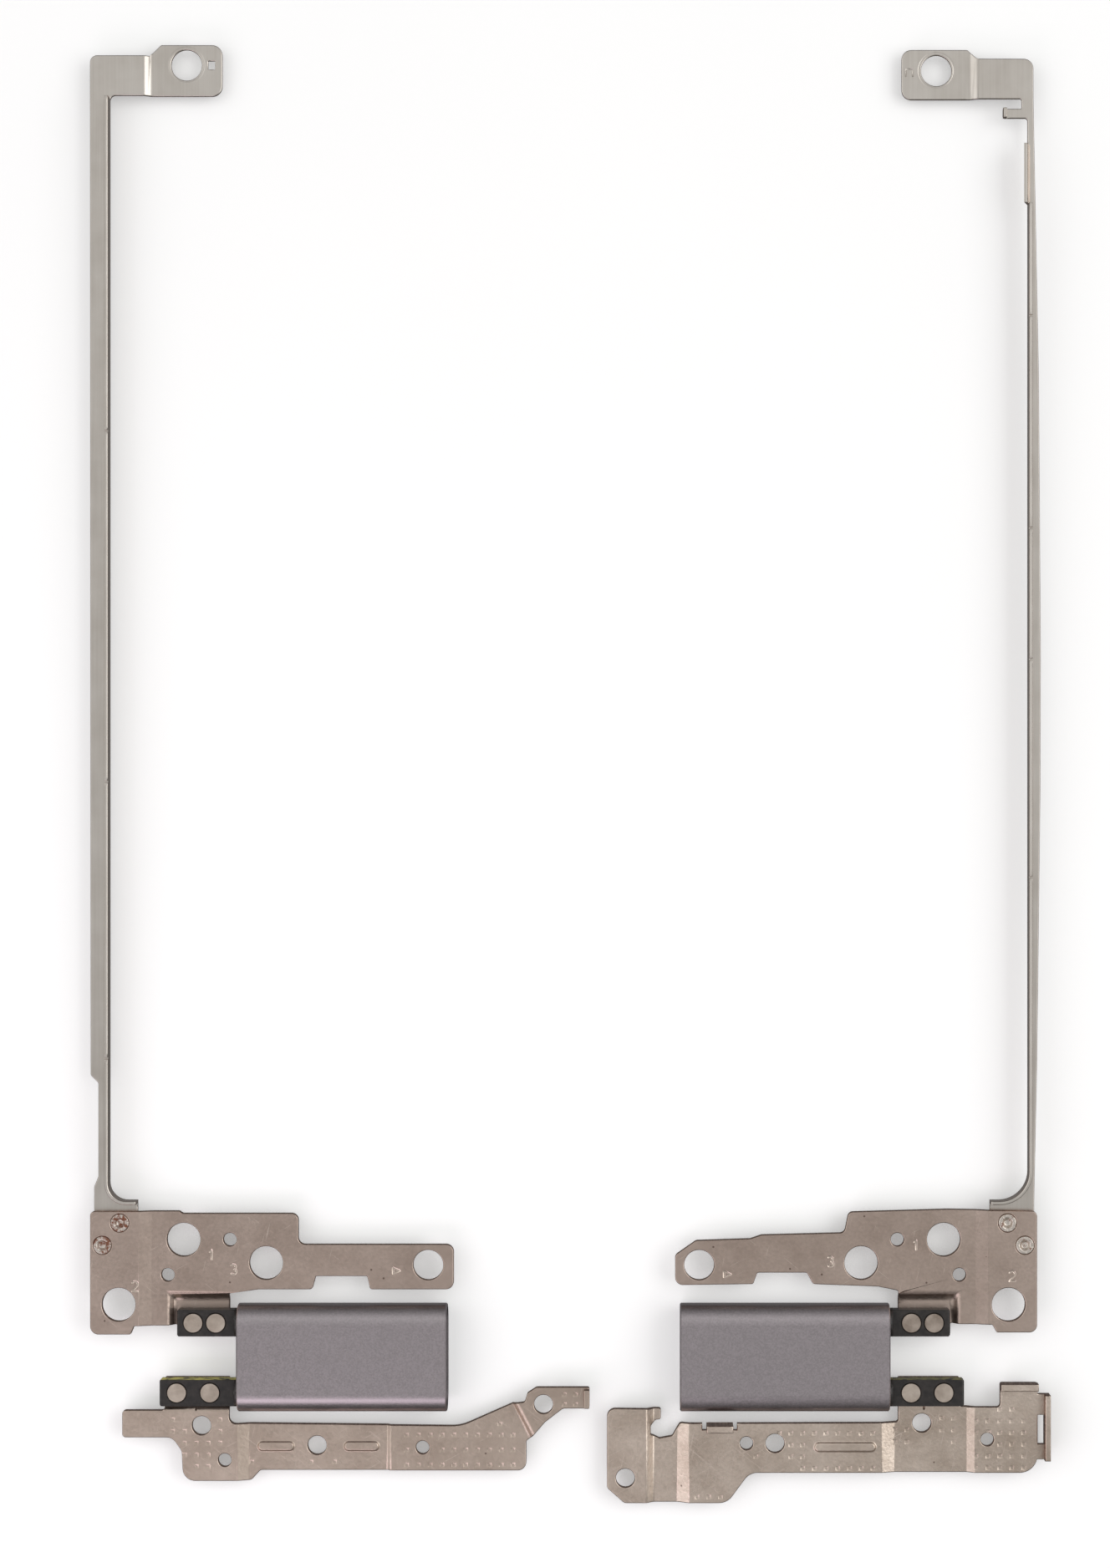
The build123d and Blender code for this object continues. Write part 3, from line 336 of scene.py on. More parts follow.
# %% Arm finish
def make_arm_steel():
    """Rolled stainless strip with faint lines along its length."""
    material, tree, shader, place = new_material("cold_rolled_stainless_steel")
    rolled = add_node(
        tree,
        "ShaderNodeMapping",
        {"Vector": place, "Scale": (per_size(0.3), per_size(16.0), per_size(0.3))},
    )
    lines = add_node(tree, "ShaderNodeTexNoise", {"Vector": rolled.outputs[0], "Scale": 1.0, "Detail": 3.0})
    clouds = add_node(tree, "ShaderNodeTexNoise", {"Vector": place, "Scale": per_size(5.0), "Detail": 4.0})
    mottle = add_node(
        tree, "ShaderNodeMix", {"Factor": 0.65, "A": lines.outputs[0], "B": clouds.outputs[0]}, data_type="FLOAT"
    )
    tint = add_node(tree, "ShaderNodeValToRGB", {"Fac": mottle.outputs["Result"]})
    set_stops(tint, (0.33, "#CEC7BE"), (0.67, "#DCD6CE"))
    gloss = add_node(
        tree,
        "ShaderNodeMapRange",
        {"Value": lines.outputs[0], "From Min": 0.3, "From Max": 0.7, "To Min": 0.28, "To Max": 0.36},
    )
    relief = add_node(
        tree, "ShaderNodeBump", {"Height": mottle.outputs["Result"], "Strength": 0.2, "Distance": 0.04 * MM}
    )
    tree.links.new(tint.outputs[0], shader.inputs["Base Color"])
    tree.links.new(gloss.outputs[0], shader.inputs["Roughness"])
    tree.links.new(relief.outputs[0], shader.inputs["Normal"])
    shader.inputs["Metallic"].default_value = 1.0
    return material


arm_strip = make_arm_steel()
print("made", arm_strip.name)

# %% [markdown]
# ## Rusty clinches
#
# The arm is joined to the bracket by clinching: a punch draws the strip up through a hole and spreads it.
# The torn metal in the middle loses its skin and rusts first. The finish is bright steel with red-brown rust
# wherever a noise is high, rougher and no longer metallic there. The left hinge has rusted more than the
# right one, so the level at which rust starts is a setting.

# %% Clinch finish
def make_clinch_steel(name, rust_from):
    """Spread strip with rust in its torn middle, wherever the noise is above rust_from."""
    material, tree, shader, place = new_material(name)
    patches = add_node(
        tree, "ShaderNodeTexNoise", {"Vector": place, "Scale": per_size(0.7), "Detail": 4.0, "Roughness": 0.7}
    )
    rust = add_node(
        tree,
        "ShaderNodeMapRange",
        {"Value": patches.outputs[0], "From Min": rust_from, "From Max": rust_from + 0.12},
    )
    tint = add_node(
        tree,
        "ShaderNodeMix",
        {"Factor": rust.outputs[0], "A": colour("#D9D0C6"), "B": colour("#7A4A33")},
        data_type="RGBA",
    )
    metal = add_node(tree, "ShaderNodeMath", {0: 1.0, 1: rust.outputs[0]}, operation="SUBTRACT")
    rough = add_node(tree, "ShaderNodeMapRange", {"Value": rust.outputs[0], "To Min": 0.3, "To Max": 0.75})
    torn = add_node(
        tree, "ShaderNodeBump", {"Height": patches.outputs[0], "Strength": 0.8, "Distance": 0.15 * MM}
    )
    tree.links.new(tint.outputs["Result"], shader.inputs["Base Color"])
    tree.links.new(metal.outputs[0], shader.inputs["Metallic"])
    tree.links.new(rough.outputs[0], shader.inputs["Roughness"])
    tree.links.new(torn.outputs[0], shader.inputs["Normal"])
    return material


clinch_rust = {
    "left": make_clinch_steel("rusted_clinched_steel", 0.44),
    "right": make_clinch_steel("tarnished_clinched_steel", 0.56),
}
print("made", [finish.name for finish in clinch_rust.values()])

# %% [markdown]
# ## Black-oxide shafts and ground rivets
#
# The shafts are blackened in a hot oxide bath, which leaves a thin satin black skin that rubs to grey on
# edges. The rivets were spread and ground flush after blackening, so their ends are bare steel with grinding
# scratches; the upper pair on the right hinge has since tarnished. The lower shafts also carry a little
# dried yellow-green grease along their upper edge.

# %% Shaft and rivet finishes
def make_black_oxide(name, grease=0.0):
    """Blackened steel; grease is the share of dried grease on the side of the flat at GREASE_EDGE."""
    material, tree, shader, place = new_material(name)
    mottle = add_node(tree, "ShaderNodeTexNoise", {"Vector": place, "Scale": per_size(0.8), "Detail": 4.0})
    tint = add_node(tree, "ShaderNodeValToRGB", {"Fac": mottle.outputs[0]})
    set_stops(tint, (0.35, "#1F1C1B"), (0.75, "#35302D"))
    skin = tint.outputs[0]
    if grease:
        height = add_node(tree, "ShaderNodeSeparateXYZ", {"Vector": place}).outputs["Y"]
        near_edge = add_node(
            tree,
            "ShaderNodeMapRange",
            {
                "Value": height,
                "From Min": GREASE_EDGE - 0.05 * MM,
                "From Max": GREASE_EDGE - 0.01 * MM,
                "To Max": grease,
            },
        )
        smears = add_node(tree, "ShaderNodeTexNoise", {"Vector": place, "Scale": per_size(1.3), "Detail": 3.0})
        clinging = add_node(
            tree, "ShaderNodeMapRange", {"Value": smears.outputs[0], "From Min": 0.36, "From Max": 0.56}
        )
        film = add_node(
            tree, "ShaderNodeMath", {0: near_edge.outputs[0], 1: clinging.outputs[0]}, operation="MULTIPLY"
        )
        greased = add_node(
            tree,
            "ShaderNodeMix",
            {"Factor": film.outputs[0], "A": skin, "B": colour("#D6CC62")},
            data_type="RGBA",
        )
        skin = greased.outputs["Result"]
    relief = add_node(
        tree, "ShaderNodeBump", {"Height": mottle.outputs[0], "Strength": 0.15, "Distance": 0.05 * MM}
    )
    tree.links.new(skin, shader.inputs["Base Color"])
    tree.links.new(relief.outputs[0], shader.inputs["Normal"])
    shader.inputs["Roughness"].default_value = 0.4
    return material


def make_ground_rivet(name, dark, light):
    """Bare steel, ground flush, with crossing scratches."""
    material, tree, shader, place = new_material(name)
    clouds = add_node(tree, "ShaderNodeTexNoise", {"Vector": place, "Scale": per_size(1.6), "Detail": 4.0})
    tint = add_node(tree, "ShaderNodeValToRGB", {"Fac": clouds.outputs[0]})
    set_stops(tint, (0.3, dark), (0.7, light))
    scratches = scratch_mask(tree, place, (12, 84, 158), 0.68)
    scored = add_node(tree, "ShaderNodeBump", {"Height": scratches, "Strength": 0.2, "Distance": -0.02 * MM})
    gloss = add_node(tree, "ShaderNodeMapRange", {"Value": scratches, "To Min": 0.3, "To Max": 0.5})
    tree.links.new(tint.outputs[0], shader.inputs["Base Color"])
    tree.links.new(gloss.outputs[0], shader.inputs["Roughness"])
    tree.links.new(scored.outputs[0], shader.inputs["Normal"])
    shader.inputs["Metallic"].default_value = 1.0
    return material


COLLAR_PAST_FLAT_MM = 0.13
GREASE_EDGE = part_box("left_base_shaft")[1].y - COLLAR_PAST_FLAT_MM * MM
black_shaft = make_black_oxide("black_oxide_steel")
base_shaft_finishes = {
    "left": make_black_oxide("black_oxide_steel_greased", 0.85),
    "right": make_black_oxide("black_oxide_steel_wiped", 0.25),
}
rivet_end = make_ground_rivet("ground_rivet_steel", "#BFB0A2", "#E2D4C6")
dull_rivet = make_ground_rivet("ground_rivet_steel_tarnished", "#A29386", "#D0C1B4")
print("made", black_shaft.name, "and", rivet_end.name, "; grease from y =", round(GREASE_EDGE / MM, 2), "mm")

# %% [markdown]
# ## Bead-blasted anodised aluminium
#
# The sleeve is extruded aluminium, blasted with fine glass beads and anodised grey with a hint of violet.
# Thousands of tiny dents scatter the light, so it looks matt and grainy, with sparkle where a lamp is
# mirrored. Real bead dents are about 0.05 mm; they are drawn near 0.2 mm so that the grain shows.

# %% Sleeve finish
def make_sleeve_alloy():
    """Grey anodised skin with blasted grain."""
    material, tree, shader, place = new_material("bead_blasted_anodised_aluminium")
    specks = add_node(tree, "ShaderNodeTexVoronoi", {"Vector": place, "Scale": per_size(0.18)})
    speck = add_node(tree, "ShaderNodeSeparateColor", {"Color": specks.outputs["Color"]}).outputs[0]
    tint = add_node(tree, "ShaderNodeValToRGB", {"Fac": speck})
    set_stops(tint, (0.0, "#A9A2A4"), (1.0, "#B6AEB1"))
    gloss = add_node(tree, "ShaderNodeMapRange", {"Value": speck, "To Min": 0.3, "To Max": 0.38})
    relief = add_node(tree, "ShaderNodeBump", {"Height": speck, "Strength": 0.12, "Distance": 0.03 * MM})
    tree.links.new(tint.outputs[0], shader.inputs["Base Color"])
    tree.links.new(gloss.outputs[0], shader.inputs["Roughness"])
    tree.links.new(relief.outputs[0], shader.inputs["Normal"])
    shader.inputs["Metallic"].default_value = 1.0
    return material


sleeve_skin = make_sleeve_alloy()
print("made", sleeve_skin.name)

# %% [markdown]
# ## Inner pieces
#
# Gears, plates, washers, springs and nuts sit in the dark of the sleeve, wet with oil. They are turned or
# blanked steel, with plates of sintered bronze between the washers, and a moulded black cap closes the end.
# A short loop makes all three, since they differ only in tint, gloss and grain. A second loop then gives
# every CAD piece that keeps its own mesh its finish, the rivets and the sleeves too.

# %% Inner finishes
INNER_FINISHES = {
    "inner_steel": ("turned_oiled_steel", "#8E8A86", "#B4AFA9", 1.0, 0.28, 0.5),
    "friction_bronze": ("sintered_oiled_bronze", "#7C5B35", "#A98452", 1.0, 0.42, 0.25),
    "cap_plastic": ("moulded_black_acetal", "#161617", "#202021", 0.0, 0.45, 0.6),
}
inner_materials = {}
for slot, (name, dark, light, metallic, roughness, grain_mm) in INNER_FINISHES.items():
    material, tree, shader, place = new_material(name)
    grain = add_node(tree, "ShaderNodeTexNoise", {"Vector": place, "Scale": per_size(grain_mm), "Detail": 3.0})
    tint = add_node(tree, "ShaderNodeValToRGB", {"Fac": grain.outputs[0]})
    set_stops(tint, (0.3, dark), (0.7, light))
    relief = add_node(
        tree, "ShaderNodeBump", {"Height": grain.outputs[0], "Strength": 0.2, "Distance": 0.03 * MM}
    )
    tree.links.new(tint.outputs[0], shader.inputs["Base Color"])
    tree.links.new(relief.outputs[0], shader.inputs["Normal"])
    shader.inputs["Metallic"].default_value = metallic
    shader.inputs["Roughness"].default_value = roughness
    inner_materials[slot] = material

NODE_MATERIALS = {"rivet_steel": rivet_end, "sleeve_alloy": sleeve_skin, **inner_materials}
DULL_NODE = "right_display_rivets"
dressed = 0
for name, piece in frame["nodes"].items():
    if SLOT_OF[name] in NODE_MATERIALS:
        piece.data.materials.clear()
        piece.data.materials.append(dull_rivet if name == DULL_NODE else NODE_MATERIALS[SLOT_OF[name]])
        dressed += 1
print("CAD pieces that only needed a finish:", dressed)

# %% [markdown]
# ## Rounded bends
#
# A CAD sheet has knife edges, and light has nothing to catch on them. Real sheet bends over a small radius,
# and Blender's bevel makes one along each long bend line. We find those lines by the angle between their
# faces and by the slanted stretch of sheet on one side. The tiny corner rounds at the end of a bend leave a
# bevel no room, so they are merged first on the thin arms. Milled pieces only get a tumbled edge.

# %% Find the bends and the sharp edges
BEND_ROUND_MM = 0.45
BEND_SHARE = 0.42  # of the slanted stretch that one bend may take up
BEND_AREA_MM2 = 3.5  # smallest slanted face that counts as a bend
BEND_ANGLES = (20, 75)  # degrees between the two faces of a bend
BEND_LENGTH_MM = 0.8
LONG_BEND_MM = 2.0
BEAD_ROUND_MM = 0.1
CORNER_MM = 0.25
SLANTED_Z = (0.5, 0.97)  # upward part of a slanted stretch's normal
WALL_Z = 0.3  # a face whose normal points up or down less than this is a cut wall
TUMBLED_ROUND_MM = 0.06
TUMBLED_LENGTH_MM = 0.3
TUMBLED_ANGLE = math.radians(40)


def bend_lines(shape):
    """Edges between flat and slanted stretches of sheet, grouped by the rounding that fits."""
    found = {}
    for edge in shape.edges:
        angle = math.degrees(edge.calc_face_angle(0))
        slanted = [face for face in edge.link_faces if SLANTED_Z[0] < abs(face.normal.z) < SLANTED_Z[1]]
        large = [face for face in slanted if face.calc_area() > BEND_AREA_MM2 * MM * MM]
        steep = any(abs(face.normal.z) < WALL_Z for face in edge.link_faces)
        if steep or not slanted or not BEND_ANGLES[0] < angle < BEND_ANGLES[1]:
            continue
        if large and edge.calc_length() > BEND_LENGTH_MM * MM:
            along = (edge.verts[1].co - edge.verts[0].co).normalized()
            slope = large[0].normal.cross(along).normalized()
            reach = [vertex.co.dot(slope) for vertex in large[0].verts]
            width = min(BEND_ROUND_MM * MM, BEND_SHARE * (max(reach) - min(reach)))
            found.setdefault(round(width, 5), []).append(edge)
        elif all(face.normal.z > SLANTED_Z[0] for face in edge.link_faces) and not large:
            found.setdefault(BEAD_ROUND_MM * MM, []).append(edge)
    return found


def clear_bend_ends(shape):
    """Merges the tiny corner rounds at the ends of long bend lines, so that a bevel has room."""
    bends = [edge for edges in bend_lines(shape).values() for edge in edges]
    long_bends = [edge for edge in bends if edge.calc_length() > LONG_BEND_MM * MM]
    for end in {vertex for edge in long_bends for vertex in edge.verts}:
        close = [vertex for vertex in shape.verts if (vertex.co - end.co).length < CORNER_MM * MM]
        bmesh.ops.pointmerge(shape, verts=close, merge_co=end.co)
    shape.normal_update()


def tumbled_edges(shape):
    """Long sharp edges of a milled piece, with the small rounding that tumbling gives them."""
    sharp = [edge for edge in shape.edges if edge.is_convex and edge.calc_face_angle(0) > TUMBLED_ANGLE]
    return {TUMBLED_ROUND_MM * MM: [edge for edge in sharp if edge.calc_length() > TUMBLED_LENGTH_MM * MM]}


print("bends are rounded by", BEND_ROUND_MM, "mm at most, milled edges by", TUMBLED_ROUND_MM, "mm")

# %% [markdown]
# ## Rounded cut edges
#
# A punch draws the sheet's rim down a little, so cut edges are round as well. They follow holes and corners
# made of many short edges, where a bevel tangles. So the skin of the sheet is inset twice instead, and the
# outer rings are lowered. A ray through the metal keeps the rings narrow beside a hole, they fade out where
# a flange rises, and an inner edge that turns back in a tiny corner is collapsed.

# %% Rings along the cut edges
FACE, EDGE, MARK, RUST = range(4)  # places of a sheet's finishes in its list of materials
EDGE_RINGS_MM = ((0.05, 0.12), (0.08, 0.035))  # step inward, and drop of the ring outside it
RINGS_MM = sum(step for step, drop in EDGE_RINGS_MM)
RING_SHARE = 0.38  # of the metal left between two borders that one border's rings may take up
RAY_INWARD_MM = 0.004
RAY_BELOW_MM = 0.02
BORDER_STEP_MM = 0.6
BORDER_ANGLE = math.radians(50)


def split_borders(shape, mark):
    """Splits the long border edges of a skin, so that its rings can follow narrow necks of metal."""
    borders = [edge for edge in shape.edges if len({bool(face[mark]) for face in edge.link_faces}) == 2]
    for edge in borders:
        cuts = int(edge.calc_length() / (BORDER_STEP_MM * MM))
        if cuts:
            bmesh.ops.subdivide_edges(shape, edges=[edge], cuts=cuts)


def falling_border(faces):
    """For each border vertex of a skin: whether all its sharp border edges fall away from the skin."""
    skin = set(faces)
    votes = {}
    for face in faces:
        for edge in face.edges:
            others = [other for other in edge.link_faces if other not in skin]
            if not others:
                continue
            sharp = edge.calc_face_angle(0) > BORDER_ANGLE
            for vertex in edge.verts:
                votes.setdefault(vertex, set()).update([edge.is_convex] if sharp else [])
    return {vertex: seen == {True} for vertex, seen in votes.items()}


def ring_share(solid, place, run, facing):
    """Part of the full ring width that fits at a border vertex, from a ray shot through the metal."""
    if run.length == 0:
        return 1
    start = place + run.normalized() * RAY_INWARD_MM * MM - Vector((0, 0, facing * RAY_BELOW_MM * MM))
    gap = solid.ray_cast(start, run, RINGS_MM / RING_SHARE * MM)[3]
    return 1 if gap is None else RING_SHARE * gap / (RINGS_MM * MM)


def turned_back(ring, inner):
    """Inner edges of a ring that run against the outer ones, as they do inside a very small corner."""
    found = []
    for face in ring:
        inside = [edge for edge in face.edges if all(vertex in inner for vertex in edge.verts)]
        outside = [edge for edge in face.edges if not any(vertex in inner for vertex in edge.verts)]
        if len(face.verts) == 4 and len(inside) == 1 and len(outside) == 1:
            first, last = inside[0].verts
            rungs = [edge for edge in face.edges if edge not in (inside[0], outside[0])]
            partners = [
                next(edge.other_vert(vertex) for edge in rungs if vertex in edge.verts)
                for vertex in (first, last)
            ]
            if (last.co - first.co).dot(partners[1].co - partners[0].co) <= 0:
                found.append(inside[0])
    return found


def round_cut_edges(shape, facing):
    """Rounds the border of a sheet's upper (facing 1) or lower (facing -1) skin."""
    solid = BVHTree.FromBMesh(shape)
    mark = shape.faces.layers.int.new("skin")
    for face in shape.faces:
        face[mark] = face.normal.z * facing > WALL_Z
    split_borders(shape, mark)
    falls = falling_border([face for face in shape.faces if face[mark]])
    border = {tuple(vertex.co): None if falling else 0 for vertex, falling in falls.items()}
    drops = {}
    for step, drop in EDGE_RINGS_MM:
        skin = [face for face in shape.faces if face[mark]]
        ring = bmesh.ops.inset_region(
            shape, faces=skin, thickness=step * MM, use_even_offset=False, use_boundary=True
        )["faces"]
        for face in ring:
            face[mark] = 0
            face.material_index = EDGE if not drops else face.material_index
        inner = {}
        for vertex in {vertex for face in ring for vertex in face.verts}:
            linked = [edge.other_vert(vertex) for edge in vertex.link_edges]
            outer = next((other for other in linked if tuple(other.co) in border), None)
            if tuple(vertex.co) in border or outer is None:
                continue
            share = border[tuple(outer.co)]
            run = vertex.co - outer.co
            if share is None:
                share = ring_share(solid, outer.co, run, facing)
            inner[vertex] = (share, outer, outer.co + run * share)
        for vertex, (share, outer, place) in inner.items():
            drops[outer] = share * drop
            vertex.co = place
        bmesh.ops.collapse(shape, edges=turned_back(ring, inner))
        border = {tuple(vertex.co): known[0] for vertex, known in inner.items() if vertex.is_valid}
    for vertex, drop in drops.items():
        if vertex.is_valid:
            vertex.co.z -= facing * drop * MM
    shape.faces.layers.int.remove(mark)


print("the rings of a cut edge are", round(RINGS_MM, 2), "mm wide where there is room")

# %% [markdown]
# ## Brackets and arms
#
# The CAD pieces stay as they are, so each rounded piece is a copy that rides on the same body and takes its
# node's place. The copy starts from whole flat faces, without the CAD mesh's triangles, and ends
# inside its CAD box. Faces and cut walls get their own finishes, which is how stamped sheet looks.

# %% Round the sheets
WELD = 0.0002 * MM
FLAT_ANGLE = math.radians(0.5)
BEND_SEGMENTS = 5


def rounded_copy(node, finishes, find_edges=bend_lines, thin=False):
    """Copy of a CAD node with round bends and edges, riding on the same body and replacing the node."""
    source = frame["nodes"][node]
    shape = bmesh.new()
    shape.from_mesh(source.data)
    bmesh.ops.remove_doubles(shape, verts=shape.verts, dist=WELD)
    bmesh.ops.dissolve_limit(
        shape, angle_limit=FLAT_ANGLE, verts=shape.verts, edges=shape.edges, delimit={"NORMAL"}
    )
    shape.normal_update()
    if thin:
        clear_bend_ends(shape)
    bends = find_edges(shape)
    for width, edges in bends.items():
        bmesh.ops.bevel(
            shape,
            geom=edges,
            offset=width,
            segments=BEND_SEGMENTS,
            profile=0.5,
            affect="EDGES",
            clamp_overlap=thin,
            loop_slide=not thin,
        )
        shape.normal_update()
    for face in shape.faces:
        face.material_index = EDGE if abs(face.normal.z) < WALL_Z else FACE
    skins = (1, -1) if find_edges == bend_lines else ()  # a milled piece has no upper and lower skin
    for facing in skins:
        round_cut_edges(shape, facing)
        bmesh.ops.remove_doubles(shape, verts=shape.verts, dist=WELD)
        shape.normal_update()
    bmesh.ops.triangulate(shape, faces=[face for face in shape.faces if len(face.verts) > 4])
    low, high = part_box(node)
    for vertex in shape.verts:
        vertex.co = [min(max(vertex.co[axis], low[axis]), high[axis]) for axis in range(3)]
    mesh = bpy.data.meshes.new(f"{node}_rounded")
    shape.to_mesh(mesh)
    shape.free()
    for finish in finishes:
        mesh.materials.append(finish)
    piece = bpy.data.objects.new(f"{node}_rounded", mesh)
    bpy.context.scene.collection.objects.link(piece)
    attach(piece, source["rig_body"])
    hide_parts(node)
    print(piece.name, "bends:", sum(map(len, bends.values())), "faces:", len(mesh.polygons))
    return piece


sheets = {}
for side in SIDES:
    sheets[f"{side}_display_bracket"] = rounded_copy(
        f"{side}_display_bracket", (screen_plate, punched_edge, coined_mark)
    )
    sheets[f"{side}_base_bracket"] = rounded_copy(
        f"{side}_base_bracket", (base_plates[side], punched_edge, coined_mark)
    )
    sheets[f"{side}_screen_arm"] = rounded_copy(
        f"{side}_screen_arm", (arm_strip, arm_strip, coined_mark, clinch_rust[side]), thin=True
    )

# %% [markdown]
# ## Black shafts
#
# The flats of the shafts were milled and then tumbled, so their edges are slightly broken and shine as thin
# grey lines. A plain small bevel is enough for them, since their edges are few and long. The lower shafts
# get the greasy finishes.

# %% Round the shafts
shafts = {}
for side in SIDES:
    for half in ("display", "base"):
        finish = base_shaft_finishes[side] if half == "base" else black_shaft
        shafts[f"{side}_{half}"] = rounded_copy(f"{side}_{half}_shaft", (finish, finish), tumbled_edges)

# %% [markdown]
# ## Pressed marks
#
# The base brackets carry fields of small square dents, pressed by the die that flattens the sheet, and the
# screen brackets carry plain stamped numerals for the order of their screws. Marks like these are cuts, so
# we build cutters and subtract them: a blunt upside-down pyramid for each dent, and a V-shaped ridge along
# each stroke. Blender's manifold solver leaves the sheet closed, as long as no cutter runs through itself.
# A bump map would do from far away, but not in a close view.

# %% Cutters for dents and grooves
DENT_MM = 0.68
DENT_FLOOR_MM = 0.36
DENT_DEPTH_MM = 0.065
CUTTER_RISE_MM = 0.08  # how far a cutter stands out of the sheet


def surface_height(piece):
    """Function that gives the height of a piece's upper side over a plan point."""
    shape = bmesh.new()
    shape.from_mesh(piece.data)
    tree = BVHTree.FromBMesh(shape)
    shape.free()

    def height(x, y):
        hit = tree.ray_cast(Vector((x, y, 0.1)), Vector((0, 0, -1)))
        return hit[0].z if hit[0] else None

    return height


def add_dent(cutter, x, y, z):
    """Adds one blunt upside-down pyramid to a cutter."""
    spread = (DENT_MM - DENT_FLOOR_MM) / 2 * (1 + CUTTER_RISE_MM / DENT_DEPTH_MM)
    rings = []
    for half, level in ((DENT_FLOOR_MM / 2 + spread, CUTTER_RISE_MM), (DENT_FLOOR_MM / 2, -DENT_DEPTH_MM)):
        corners = ((-half, -half), (half, -half), (half, half), (-half, half))
        rings.append([cutter.verts.new((x + dx * MM, y + dy * MM, z + level * MM)) for dx, dy in corners])
    cutter.faces.new(rings[0])
    cutter.faces.new(rings[1])
    for place in range(4):
        after = (place + 1) % 4
        cutter.faces.new((rings[0][place], rings[1][place], rings[1][after], rings[0][after]))


def add_groove(cutter, points, closed, width_mm, depth_mm):
    """Adds a V-shaped ridge along a line of surface points to a cutter, with pointed ends."""
    count = len(points)
    half = width_mm / 2 * (1 + CUTTER_RISE_MM / depth_mm) * MM
    sections = []
    for place, point in enumerate(points):
        before = points[place - 1] if place or closed else point
        after = points[(place + 1) % count] if place < count - 1 or closed else point
        runs = [run.normalized() for run in (point - before, after - point) if run.length > 0]
        middle = sum(runs, Vector()).normalized()
        across = Vector((-middle.y, middle.x, 0)) * half / max(0.5, middle.dot(runs[0]))
        top = point + Vector((0, 0, CUTTER_RISE_MM * MM))
        section = [top + across, top - across, point - Vector((0, 0, depth_mm * MM))]
        sections.append([cutter.verts.new(corner) for corner in section])
    for place in range(count if closed else count - 1):
        here, after = sections[place], sections[(place + 1) % count]
        for corner in range(3):
            cutter.faces.new((here[corner], here[corner - 1], after[corner - 1], after[corner]))
    if not closed:
        for section, run in ((sections[0], points[0] - points[1]), (sections[-1], points[-1] - points[-2])):
            middle = (section[0].co + section[1].co) / 2
            tip = cutter.verts.new(middle + run.normalized() * half)
            for corner in range(3):
                cutter.faces.new((section[corner], section[corner - 1], tip))


def subtract(piece, cutter, finish_index):
    """Cuts a cutter's shape out of a piece; the cut faces take one of the piece's finishes."""
    bmesh.ops.recalc_face_normals(cutter, faces=cutter.faces)
    for face in cutter.faces:
        face.material_index = finish_index
    mesh = bpy.data.meshes.new("cutter")
    cutter.to_mesh(mesh)
    cutter.free()
    for finish in piece.data.materials:
        mesh.materials.append(finish)
    tool = bpy.data.objects.new("cutter", mesh)
    bpy.context.scene.collection.objects.link(tool)
    cut = piece.modifiers.new("cut", "BOOLEAN")
    cut.operation = "DIFFERENCE"
    cut.solver = "MANIFOLD"
    cut.object = tool
    bpy.context.view_layer.update()
    name = piece.data.name
    finished = piece.evaluated_get(bpy.context.evaluated_depsgraph_get())
    piece.data = bpy.data.meshes.new_from_object(finished)
    piece.data.name = name
    piece.modifiers.clear()
    bpy.data.objects.remove(tool)


print("a dent is", DENT_MM, "mm wide and", DENT_DEPTH_MM, "mm deep")

# %% [markdown]
# ## Fields of dents
#
# Each field is a square grid, and the die did not reach every point of it, so the fields are drawn as rows of
# text, with an x for each dent. The first dent's place and the pitch come from the real sheet.

# %% Press the dents
DENT_FIELDS = {
    "left": [
        ((-9.5, -4.1), (1.7, -1.68), ("x...x.", "xx..x.", ".xxxx.", ".xxx..", "..xx..")),
        ((24.1, -6.35), (1.7, -2.15), ("xxxxxxxxxx", "x..xxxxxxx", "xxxxxxxxxx")),
        ((37.5, -4.75), (1.7, -1.7), ("x",)),
        ((45.2, -0.4), (1.6, -1.4), (".xx", ".xx")),
        ((1.8, -10.3), (1.7, -1.7), ("x....x.x",)),
    ],
    "right": [
        ((-12.5, -2.6), (-1.72, -1.68), ("..xx.", "xxxxx", "xxxxx", "..xxx", "xxxxx", "xxxxx")),
        ((-0.95, -4.0), (-1.68, -1.7), ("....xx", "xx..xx", "xx...x")),
        ((2.3, -6.05), (1.68, -1.68), ("xxxxxxxxx", "......xx", "......xx..x", "xxxxxxx")),
        ((24.2, -15.2), (1.68, -1.7), ("xxx",)),
    ],
}


def press_dents(side):
    """Presses the dent fields of one base bracket."""
    piece = sheets[f"{side}_base_bracket"]
    height = surface_height(piece)
    cutter = bmesh.new()
    pressed = 0
    for (first_inward, first_up), (pitch_inward, pitch_up), rows in DENT_FIELDS[side]:
        for row, marks in enumerate(rows):
            for column, mark in enumerate(marks):
                if mark != "x":
                    continue
                inward = first_inward + column * pitch_inward
                x, y = plan_place(side, "base", inward, first_up + row * pitch_up)
                z = height(x, y)
                if z:
                    add_dent(cutter, x, y, z)
                    pressed += 1
    subtract(piece, cutter, FACE)
    print(side, "dents:", pressed)


for side in SIDES:
    press_dents(side)

# %% [markdown]
# ## Stamped numerals
#
# The numerals 1, 2 and 3 tell a fitter which screw goes first, and a small triangle points at the end screw.
# Each is drawn as strokes with a few points on a unit square, with the round parts worked out as arcs, then
# scaled to the stamp's height and laid on the sheet. Strokes meet, so they are cut one after the other.

# %% Stamp the numerals
NUMERAL_MM = 1.45
STROKE_MM = (0.3, 0.09)  # width and depth of a stamped stroke


